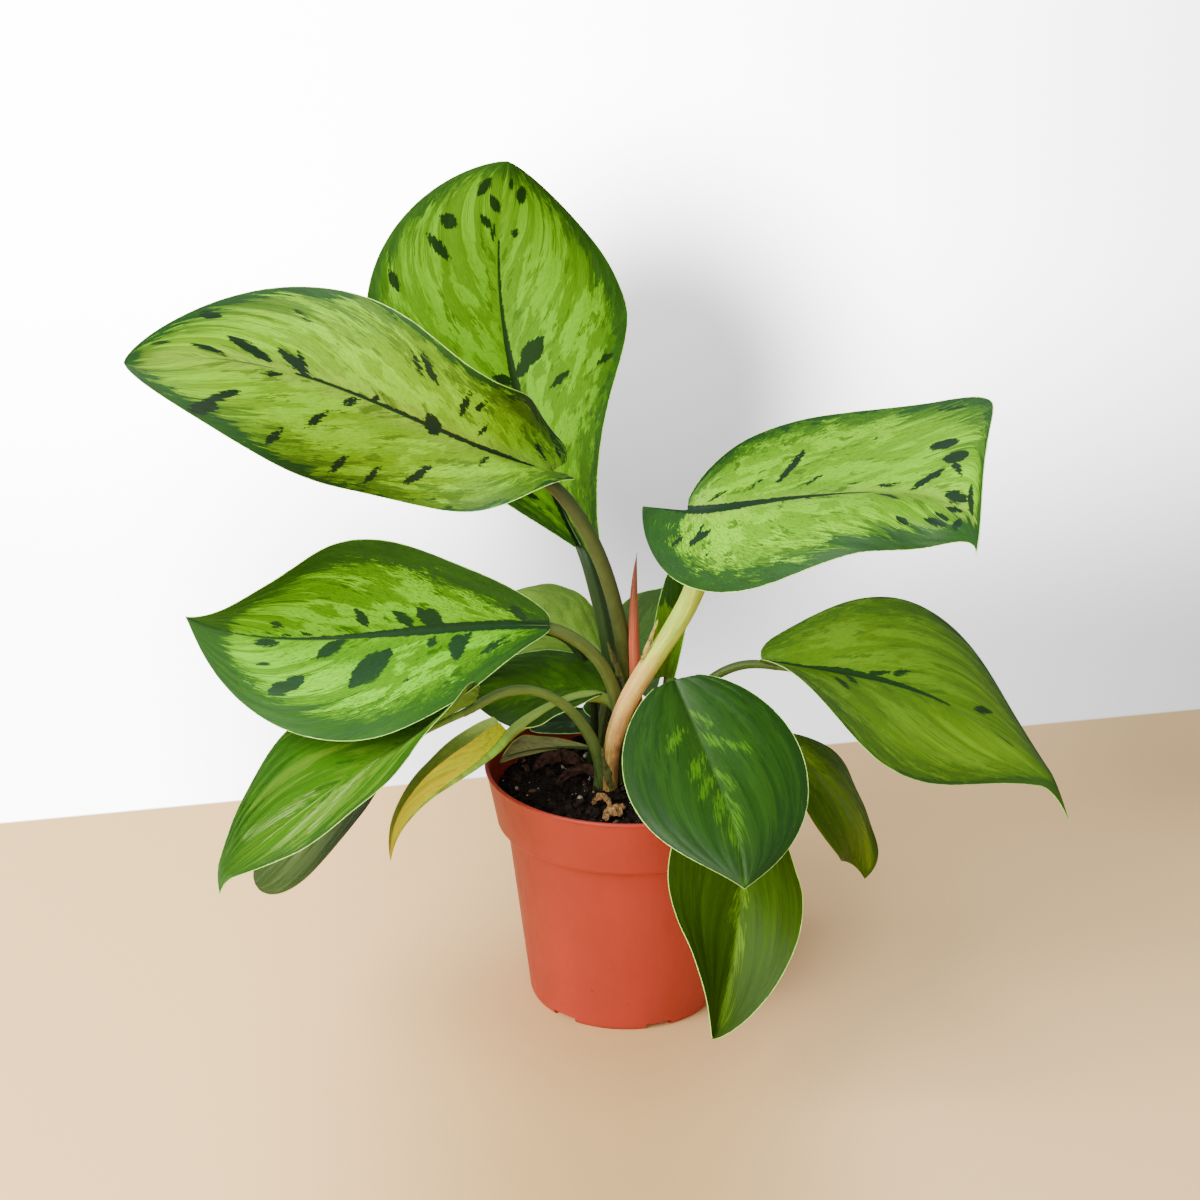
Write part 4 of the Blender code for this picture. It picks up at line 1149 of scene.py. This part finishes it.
def pot_material():
    """Terracotta-red moulded plastic: satin, a little cloudy, with faint rubs and specks."""
    material, shader, graph = new_material("pot_plastic", specular=0.32)
    place = graph.place()
    clouds = graph.noise(place, (22.0, 22.0, 13.2), 4.0, 0.6)
    grains = graph.noise(place, 900.0, 2.0, 0.6)
    rubs = graph.noise(place, (120.0, 120.0, 42.0), 4.0, 0.7, 1.5)
    specks = graph.noise(place, 230.0, 1.0, 0.5)
    colour = graph.cover(paint(203, 92, 66), clouds, 0.35, 0.65, paint(209, 99, 74))
    colour = graph.cover(colour, rubs, 0.66, 0.80, paint(222, 128, 98), 0.35)
    colour = graph.cover(colour, specks, 0.78, 0.84, paint(120, 52, 36), 0.5)
    graph.feed(shader["Roughness"], graph.step(rubs, 0.4, 0.8, 0.46, 0.60))
    finish(graph, shader, colour, graph.total(grains, graph.times(rubs, 0.6)), 0.25, 0.0002)
    return material


def soil_material():
    """Moist dark potting mix."""
    material, shader, graph = new_material("soil", specular=0.2)
    place = graph.place()
    clumps = graph.noise(place, 260.0, 5.0, 0.7)
    motes = graph.noise(place, 900.0, 3.0, 0.6)
    colour = graph.cover(paint(26, 17, 13), clumps, 0.38, 0.66, paint(56, 38, 27))
    colour = graph.cover(colour, motes, 0.66, 0.74, paint(104, 76, 52), 0.7)
    graph.feed(shader["Roughness"], graph.step(clumps, 0.3, 0.7, 0.62, 0.95))
    finish(graph, shader, colour, clumps, 1.0, 0.0012)
    return material


def grit_material(name, first, second, third):
    """Crumbs that differ from one to the next by a number each carries in its shade field."""
    material, shader, graph = new_material(name, roughness=0.9, specular=0.25)
    shade = graph.parts(graph.field("shade"))["X"]
    fine = graph.noise(graph.place(), 1400.0, 3.0, 0.6)
    colour = graph.cover(paint(*first), shade, 0.0, 0.6, paint(*second))
    colour = graph.cover(colour, shade, 0.6, 1.0, paint(*third))
    colour = graph.toned(colour, graph.step(fine, 0.3, 0.7, 0.72, 1.12))
    finish(graph, shader, colour, fine, 0.6, 0.0003)
    return material


def bud_material():
    """Coral red, browner at the tip and darker orange at the foot, with fine lines along it."""
    material, shader, graph = new_material("bud", roughness=0.42, specular=0.35)
    grain = graph.field("grain")
    t = graph.parts(grain)["Z"]
    lines = graph.noise(grain, (0.05, 1.4, 1.0), 3.0, 0.6)
    colour = graph.cover(paint(160, 106, 58), t, 0.05, 0.45, paint(200, 130, 96))
    colour = graph.cover(colour, t, 0.50, 0.90, paint(150, 98, 66))
    colour = graph.cover(colour, lines, 0.45, 0.65, paint(226, 160, 122), 0.5)
    finish(graph, shader, colour, lines, 0.4, 0.0003)
    return material


def dry_material(name):
    """Dry papery skin with fibres, stains and frayed brown ends."""
    material, shader, graph = new_material(name, roughness=0.85, specular=0.15)
    light, middle, dark = (paint(*colour) for colour in DRY_SKINS[name])
    grain = graph.field("grain")
    fibres = graph.noise(grain, (0.25, 2.2, 1.0), 4.0, 0.65)
    stains = graph.noise(grain, (0.5, 0.5, 1.0), 4.0, 0.65, 0.6)
    colour = graph.cover(middle, fibres, 0.35, 0.65, light)
    finish(graph, shader, graph.cover(colour, stains, 0.50, 0.66, dark), fibres, 0.8, 0.0005)
    return material


# Pot and soil

# Longest step of the pot's profile, turn between its columns of points in degrees, and
# turn between the two columns at each side of a notch.
POT_STEP = 4.0
POT_TURN = 2.5
NOTCH_SIDE = 0.08


def round_axis(radius, height, angle):
    """Points at these distances from the pot's axis, these heights and these angles."""
    points = radius * np.cos(angle), radius * np.sin(angle), height
    return np.stack(np.broadcast_arrays(*points), -1)


def add_turned(name, node, rings, first, last, material, sharp, outward=True):
    """A body of rings round the pot's axis, closed as fans on a point at either end.

    first and last are the heights of these points, and outward is false for rings that
    run from the top down, whose faces are turned round.
    """
    count, sides = rings.shape[:2]
    k = np.arange(sides)
    after = (k + 1) % sides
    end = (count - 1) * sides
    near = np.stack([np.full_like(k, count * sides), after, k], 1)
    far = np.stack([np.full_like(k, count * sides + 1), end + k, end + after], 1)
    faces = tube_faces(count, sides)[:-2] + near.tolist() + far.tolist()
    if not outward:
        faces = [face[::-1] for face in faces]
    points = np.concatenate([rings.reshape(-1, 3), [(0, 0, first), (0, 0, last)]])
    build(name, node, points, faces, [material], sharp=sharp)


def pot_profile():
    """Outer and inner wall of the pot from the underside's middle to the inner floor's."""
    turn = np.radians(np.linspace(0, 90, 9))
    bulge = BODY_FOOT_RADIUS - UNDERSIDE_RADIUS
    foot = [(UNDERSIDE_RADIUS + bulge * np.sin(a), FOOT_ROUNDING * (1 - np.cos(a))) for a in turn]
    step = [(BODY_TOP_RADIUS, BODY_TOP_HEIGHT - 0.3), (BODY_TOP_RADIUS + 0.25, BODY_TOP_HEIGHT),
            (COLLAR_FOOT_RADIUS - 1.1, COLLAR_FOOT_HEIGHT - 1.15),
            (COLLAR_FOOT_RADIUS - 0.45, COLLAR_FOOT_HEIGHT - 0.8),
            (COLLAR_FOOT_RADIUS - 0.1, COLLAR_FOOT_HEIGHT - 0.35),
            (COLLAR_FOOT_RADIUS, COLLAR_FOOT_HEIGHT + 0.3)]
    below_lip = [(RIM_RADIUS - 0.75, POT_HEIGHT - 2.3)]
    lip = [(RIM_RADIUS + LIP_RADIUS * (np.cos(a) - 1), POT_HEIGHT + LIP_RADIUS * (np.sin(a) - 1))
           for a in np.radians(np.linspace(-70, 180, 9))]
    inside = [(RIM_RADIUS - WALL - 0.45, POT_HEIGHT - 1.6),
              (COLLAR_FOOT_RADIUS - WALL, COLLAR_FOOT_HEIGHT + WALL),
              (BODY_TOP_RADIUS - WALL, BODY_TOP_HEIGHT + WALL),
              (BODY_FOOT_RADIUS - WALL, FOOT_ROUNDING + 1.0),
              (UNDERSIDE_RADIUS - WALL - 2.0, FLOOR_THICKNESS)]
    base = [(DRAIN_INNER_RADIUS + out, 0.0) for out in (-2.0, -0.01, 0.0, 2.5)]
    return base + foot + step + below_lip + lip + inside


def finer(profile, longest):
    """The profile with its long runs split into equal steps no longer than longest."""
    profile = np.array(profile, float)
    pieces = []
    for a, b in zip(profile[:-1], profile[1:]):
        steps = max(int(np.ceil(np.linalg.norm(b - a) / longest)), 1)
        pieces.append(a + (b - a) * (np.arange(steps) / steps)[:, None])
    return np.concatenate(pieces + [profile[-1:]])


def add_pot():
    """The pot: its profile turned round the axis, lifted where a drain notch cuts its foot.

    Each notch has two columns of points a hair apart at either end, which makes its
    upright sides. The wall is a touch oval: its radius is scaled by 1 + 0.0012 sin(2a + 0.7).
    """
    profile = finer(pot_profile(), POT_STEP)
    centres = DRAIN_FIRST_ANGLE + np.arange(DRAIN_COUNT) * 360 / DRAIN_COUNT
    sides = np.concatenate([centres - DRAIN_HALF_WIDTH, centres + DRAIN_HALF_WIDTH])
    sides = np.concatenate([sides - NOTCH_SIDE / 2, sides + NOTCH_SIDE / 2])
    angles = np.concatenate([np.arange(0, 360, POT_TURN), sides])
    angles = np.unique(np.round(angles % 360, 3))
    notched = np.abs((angles[:, None] - centres + 180) % 360 - 180).min(1) < DRAIN_HALF_WIDTH
    radius, height = profile.T[..., None] * np.ones(len(angles))
    outside = np.arange(len(profile)) < len(profile) // 2
    low = (height < DRAIN_HEIGHT) & (radius >= DRAIN_INNER_RADIUS) & outside[:, None]
    lifted = DRAIN_HEIGHT - 0.9 * (radius < DRAIN_INNER_RADIUS + 1)
    a = np.radians(angles)
    oval = 1 + 0.0012 * np.sin(2 * a + 0.7)
    rings = round_axis(radius * oval, np.where(low & notched, lifted, height), a)
    add_turned("pot_shell", "pot", rings, 0, FLOOR_THICKNESS, pot_material(), 38)


def add_soil():
    """The soil's lumpy top, which sinks at the wall, and its plain sides and underside."""
    rings, sides = 90, 220
    share = np.linspace(0.0, 1.0, rings + 1)[1:, None]
    r, a = np.broadcast_arrays((SOIL_RADIUS + 0.35) * share, np.arange(sides) * 2 * np.pi / sides)
    x, y = r * np.cos(a), r * np.sin(a)
    lumps = 0.9 * ripple(x / 5, y / 5, 11) + 0.55 * ripple(x / 1.9, y / 1.9, 12)
    lumps = lumps + 0.3 * ripple(x / 0.8, y / 0.8, 13)
    top = round_axis(r, soil_height(x, y) - 0.4 + lumps * 0.7 - 0.8 * ease(51, 55, r), a)
    underside = FLOOR_THICKNESS + 0.3
    wall = np.array([(COLLAR_FOOT_RADIUS - WALL - 0.5, COLLAR_FOOT_HEIGHT + WALL),
                     (BODY_TOP_RADIUS - WALL - 0.5, BODY_TOP_HEIGHT + WALL),
                     (BODY_FOOT_RADIUS - WALL - 0.5, FOOT_ROUNDING),
                     (UNDERSIDE_RADIUS - WALL - 2.5, underside)])
    lower = round_axis(wall[:, :1], wall[:, 1:], a[0])
    add_turned("soil_top", "soil", np.concatenate([top, lower]), soil_height(0, 0) - 0.4,
               underside, soil_material(), 80, outward=False)


def pebble():
    """Points and triangles of a regular icosahedron of unit radius."""
    g = (1 + 5 ** 0.5) / 2
    points = np.array([(-1, g, 0), (1, g, 0), (-1, -g, 0), (1, -g, 0), (0, -1, g), (0, 1, g),
                       (0, -1, -g), (0, 1, -g), (g, 0, -1), (g, 0, 1), (-g, 0, -1), (-g, 0, 1)])
    faces = np.array([(0, 11, 5), (0, 5, 1), (0, 1, 7), (0, 7, 10), (0, 10, 11), (1, 5, 9),
                      (5, 11, 4), (11, 10, 2), (10, 7, 6), (7, 1, 8), (3, 9, 4), (3, 4, 2),
                      (3, 2, 6), (3, 6, 8), (3, 8, 9), (4, 9, 5), (2, 4, 11), (6, 2, 10),
                      (8, 6, 7), (9, 8, 1)])
    return points / np.hypot(1, g), faces


def random_turns(chance, count):
    """Rotation matrices spread evenly over all directions, from random unit quaternions."""
    w, x, y, z = unit(chance.normal(size=(count, 4))).T
    rows = [[1 - 2 * (y * y + z * z), 2 * (x * y - w * z), 2 * (x * z + w * y)],
            [2 * (x * y + w * z), 1 - 2 * (x * x + z * z), 2 * (y * z - w * x)],
            [2 * (x * z - w * y), 2 * (y * z + w * x), 1 - 2 * (x * x + y * y)]]
    return np.moveaxis(np.array(rows), -1, 0)


def add_crumbs(name, count, sizes, form, colours, seed, lift=0.2, extra=()):
    """Scatters dented pebbles over the soil.

    sizes is (least, most) radius and form their stretch along three axes; extra adds
    (x, y, radius) one by one.
    """
    chance = np.random.default_rng(seed)
    radius = (SOIL_RADIUS - 1.0) * np.sqrt(chance.uniform(0, 1, count))
    angle = chance.uniform(0, 2 * np.pi, count)
    size = sizes[0] + (sizes[1] - sizes[0]) * chance.uniform(0, 1, count) ** 2.5
    spots = np.stack([radius * np.cos(angle), radius * np.sin(angle), size], 1)
    x, y, size = np.concatenate([spots, np.reshape(extra, (-1, 3))]).T
    count = len(x)
    points, faces = pebble()
    dents = 1 + chance.uniform(-0.28, 0.22, (count, len(points), 1))
    stretch = np.array(form) * chance.uniform(0.75, 1.25, (count, 3))
    lumps = points * dents * (stretch * size[:, None])[:, None, :]
    lumps = np.einsum("nij,nkj->nki", random_turns(chance, count), lumps)
    z = soil_height(x, y) - 0.2 + size * lift + 0.6 * chance.uniform(-1, 1, count)
    lumps = lumps + np.stack([x, y, z], -1)[:, None, :]
    all_faces = faces + (np.arange(count) * len(points))[:, None, None]
    shade = np.repeat(chance.uniform(0, 1, count), len(points))
    build("soil_" + name, "soil", lumps.reshape(-1, 3), all_faces.reshape(-1, 3).tolist(),
          [grit_material(name, *colours)], fields={"shade": np.stack([shade] * 3, -1)}, sharp=35)


# Rolled leaf and dry scraps

def rolled_section(angle, t):
    """Scale of the rolled leaf's radius: a spiral, whose step winds round as t goes from 0 to 1."""
    turn = ((angle + 2.2 - 1.6 * t) % (2 * np.pi)) / (2 * np.pi)
    return 0.90 + 0.20 * ease(0, 0.97, turn) * (1 - ease(0.97, 1.0, turn))


def add_bud():
    """The rolled new leaf: a spindle on whose side the free edge shows as a winding seam."""
    rings, sides = 90, 36
    t = np.linspace(0, 1, rings)
    line = bezier(BUD_LINE, t)
    line[0] = on_soil(line[0], 1.0)
    radii = BUD_RADIUS * np.clip(1.0 - 0.12 * t - 0.90 * t**5, 0.05, 1) * (1 + 0.10 * np.sin(3 * t))
    points = tube_rings(line, radii, np.array([0.3, -1.0, 0.1]), sides, rolled_section)
    grain = tube_grain(t * 100, np.arange(sides) * 0.6, t)
    build("bud_rolled", "bud", points.reshape(-1, 3), tube_faces(rings, sides),
          [bud_material()], fields={"grain": grain}, sharp=70)


def add_scrap(name, node, skin, half, seed, curl, crumple, face, ends):
    """A thin crumpled strip along a Bezier line.

    Across, it is an arc of curl radians either side of its middle; its width follows a
    sine bulge to pointed ends, and soft noise crumples it.
    """
    rows, columns = 48, 17
    s = (np.arange(rows) + 0.5) / rows
    u, v = np.meshgrid(s, np.linspace(-1, 1, columns), indexing="ij")
    line = bezier(ends, s)
    heading = bezier_heading(ends, s)
    face = np.array(face, float)
    normal = unit(face - (heading @ face)[:, None] * heading)
    side = np.cross(heading, normal)
    width = half * (np.sin(np.pi * u) ** 0.6 + 0.05) * (1 + 0.18 * ripple(u * 14, v, seed))
    across = width / curl * np.sin(curl * v)
    lift = -width / curl * (1 - np.cos(curl * v))
    crumpled = crumple * (ripple(u * 18, v * 3, seed + 1) + 0.5 * ripple(u * 40, v * 7, seed + 2))
    middle = (line[:, None] + side[:, None] * across[..., None]
              + normal[:, None] * (lift + crumpled)[..., None])
    out = surface_normal(middle, u, v) * SCRAP_THICKNESS / 2
    tip = line[-1:] + heading[-1:] * 0.5
    points = np.concatenate([(middle + out).reshape(-1, 3), (middle - out).reshape(-1, 3), tip])
    tops, bottoms = sheet_faces(rows, columns, 2 * rows * columns)
    flat = np.stack([u * 30, v * half, u], -1).reshape(-1, 3)
    build(name, node, points, tops + bottoms, [shared(dry_material, skin)],
          fields={"grain": np.concatenate([flat, flat, [(30, 0, 1)]])})


# Floor, light and camera, in metres

# The paper sweep's pattern fans out from the line y = -SWEEP_FRONT on the floor.
SWEEP_FRONT = 0.960
# Its painted patch of shade, the plant's shadow on the sweep: the middle as (a, b), and its reach
# along a and down and up b.
SHADE_MIDDLE = (0.012, 0.54)
SHADE_REACH = (0.088, 0.25, 0.18)
# The sweep begins where y - SLANT x passes these two values.
SWEEP_SLANT = 0.247
SWEEP_START = (0.2225, 0.2255)
FLOOR_REACH = 6.0
LIGHTS_LOOK_AT = (0, 0, 0.15)


def floor_material():
    """Plain pale floor, whose far part glows to the camera as a bright paper sweep.

    The sweep's brightness is painted light and shade: a fixed pattern in a = x / d and
    b = 1 / d, where d is the distance from the line y = -SWEEP_FRONT. It dims towards the
    right and low down, and holds a painted shadow of the plant as a soft patch behind it.
    The sand in front of the pot is darker and tanner, and darkens into painted shade
    towards the back right. The near floor also glows faintly to the camera: a painted pool
    of light on the left, and painted fill in the shade right of the pot.
    """
    material, shader, graph = new_material("floor", roughness=0.8, specular=0.1)
    step, times = graph.step, graph.times
    point = graph.place()
    x, y = graph.parts(point)["X"], graph.parts(point)["Y"]

    def ratio(a, b, size):
        return graph.math("DIVIDE", graph.math("SUBTRACT", a, b), size)

    fine = graph.noise(point, 900.0, 3.0, 0.7)
    near = times(step(x, -0.16, -0.02), step(x, 0.0, 0.12, 1.0, 0.0),
                 step(y, 0.06, -0.09, 0.15, 1.0))
    # Painted shade: the sand darkens towards the back right.
    shaded_back_right = times(step(x, 0.16, 0.30), step(y, 0.12, 0.24, 0.0, 0.6))
    sand = graph.cover((0.90, 0.60, 0.285, 1), fine, 0.3, 0.7, (0.95, 0.65, 0.32, 1))
    sand = graph.mix(near, sand, (0.70, 0.45, 0.18, 1))
    sand = graph.mix(shaded_back_right, sand, (0.46, 0.34, 0.18, 1))
    far = step(graph.math("SUBTRACT", y, times(x, SWEEP_SLANT)), *SWEEP_START)
    graph.feed(shader["Base Color"], graph.mix(far, sand, (0.35, 0.35, 0.35, 1)))

    # Painted light and shade of the sweep: it dims towards the right and low down, and a painted
    # shadow of the plant darkens a soft patch behind it.
    b = graph.math("DIVIDE", 1.0, graph.total(y, SWEEP_FRONT))
    a = times(x, b)
    beside = ratio(a, SHADE_MIDDLE[0], SHADE_REACH[0])
    below = graph.math("MAXIMUM", ratio(b, SHADE_MIDDLE[1], SHADE_REACH[1]),
                       ratio(SHADE_MIDDLE[1], b, SHADE_REACH[2]))
    gap = graph.math("SQRT", graph.total(times(beside, beside), times(below, below)))
    # Painted shade low down behind the plant.
    low = times(step(b, 0.40, 0.75, 0.0, 0.82), step(a, -0.23, -0.08, 0.38, 1.0))
    bright = times(step(a, -0.20, 0.35, 1.0, 0.22), step(gap, 0.35, 1.35, 0.11, 1.0),
                   graph.math("SUBTRACT", 1.0, low))
    # Painted light that only the camera sees: a warm glow on the near floor at the left, fading out
    # to the right, and a fainter one that lifts the shade right of the pot.
    painted_floor_glow = graph.cover((0.058, 0.033, 0.012, 1), x, -0.19, 0.02, (0.001, 0, 0, 1))
    right = times(step(x, 0.05, 0.13), step(y, 0.20, 0.06))
    painted_floor_glow = graph.mix(right, painted_floor_glow, (0.018, 0.0125, 0.006, 1))
    seen = graph.add("ShaderNodeLightPath").outputs["Is Camera Ray"]
    glow = graph.mix(seen, (0, 0, 0, 1), graph.mix(far, painted_floor_glow, graph.grey(bright)))
    graph.feed(shader["Emission Color"], glow)
    shader["Emission Strength"].default_value = 15.0
    return material


def add_floor():
    """A square floor at the foot of the pot."""
    mesh = bpy.data.meshes.new("floor")
    corners = FLOOR_REACH * np.array([(-1, -1, 0), (1, -1, 0), (1, 1, 0), (-1, 1, 0)])
    mesh.from_pydata(corners.tolist(), [], [(0, 1, 2, 3)])
    mesh.materials.append(floor_material())
    put("floor", mesh)


def add_light(name, place, size, power, colour=(1, 1, 1)):
    """A round soft light of this size in metres and power in watts, turned to the plant."""
    lamp = bpy.data.lights.new(name, "AREA")
    lamp.shape = "DISK"
    lamp.size = size
    lamp.energy = power
    lamp.color = colour
    light = put(name, lamp)
    light.location = place
    look = Vector(LIGHTS_LOOK_AT) - Vector(place)
    light.rotation_euler = look.to_track_quat("-Z", "Y").to_euler()


def add_lights():
    """A large key light from the left, a weak one from the front, and a pale room."""
    add_light("key", (-1.45, -0.85, 1.15), 2.0, 102, (1.0, 0.99, 0.97))
    add_light("front", (-0.15, -1.9, 1.2), 1.2, 16)
    world = bpy.data.worlds.new("studio")
    world.use_nodes = True
    background = world.node_tree.nodes["Background"]
    background.inputs["Color"].default_value = (0.97, 0.98, 1.0, 1)
    background.inputs["Strength"].default_value = 0.50
    bpy.context.scene.world = world


def add_camera():
    """Axes of the view: forward from yaw and dip, right level with the floor, then rolled."""
    yaw, dip, roll = np.radians([CAMERA_YAW, CAMERA_DIP, CAMERA_ROLL])
    forward = np.array([np.sin(yaw) * np.cos(dip), np.cos(yaw) * np.cos(dip), -np.sin(dip)])
    right = np.array([np.cos(yaw), -np.sin(yaw), 0.0])
    up = np.cross(right, forward)
    rolled_right = right * np.cos(roll) + up * np.sin(roll)
    rolled_up = up * np.cos(roll) - right * np.sin(roll)
    data = bpy.data.cameras.new("camera")
    data.lens = LENS
    data.sensor_width = SENSOR
    camera = put("camera", data)
    axes = Matrix(np.stack([rolled_right, rolled_up, -forward], 1).tolist()).to_4x4()
    camera.matrix_world = Matrix.Translation(CAMERA_PLACE) @ axes
    bpy.context.scene.camera = camera


def main():
    add_pot()
    add_soil()
    add_crumbs("clods", 1500, (0.4, 2.2), (1, 1, 0.8),
               ((30, 20, 15), (52, 35, 25), (84, 60, 42)), 1)
    add_crumbs("bark", 150, (0.5, 2.2), (1.6, 0.7, 0.45),
               ((84, 56, 40), (126, 90, 62), (170, 136, 102)), 2)
    add_crumbs("perlite", 130, (0.3, 1.0), (1, 0.9, 0.8),
               ((196, 190, 180), (226, 222, 214), (244, 242, 236)), 3,
               lift=0.6, extra=((-19.5, -16.5, 1.9), (-10.0, -13.0, 1.0), (-34.0, -28.0, 1.3)))
    for index, leaf in enumerate(LEAVES):
        add_blade(leaf, 100 + 10 * index)
        if leaf.stalk:
            add_stalk(leaf, 500 + 10 * index)
    add_bud()
    for scrap in SCRAPS:
        add_scrap(*scrap)
    add_floor()
    add_lights()
    add_camera()


main()
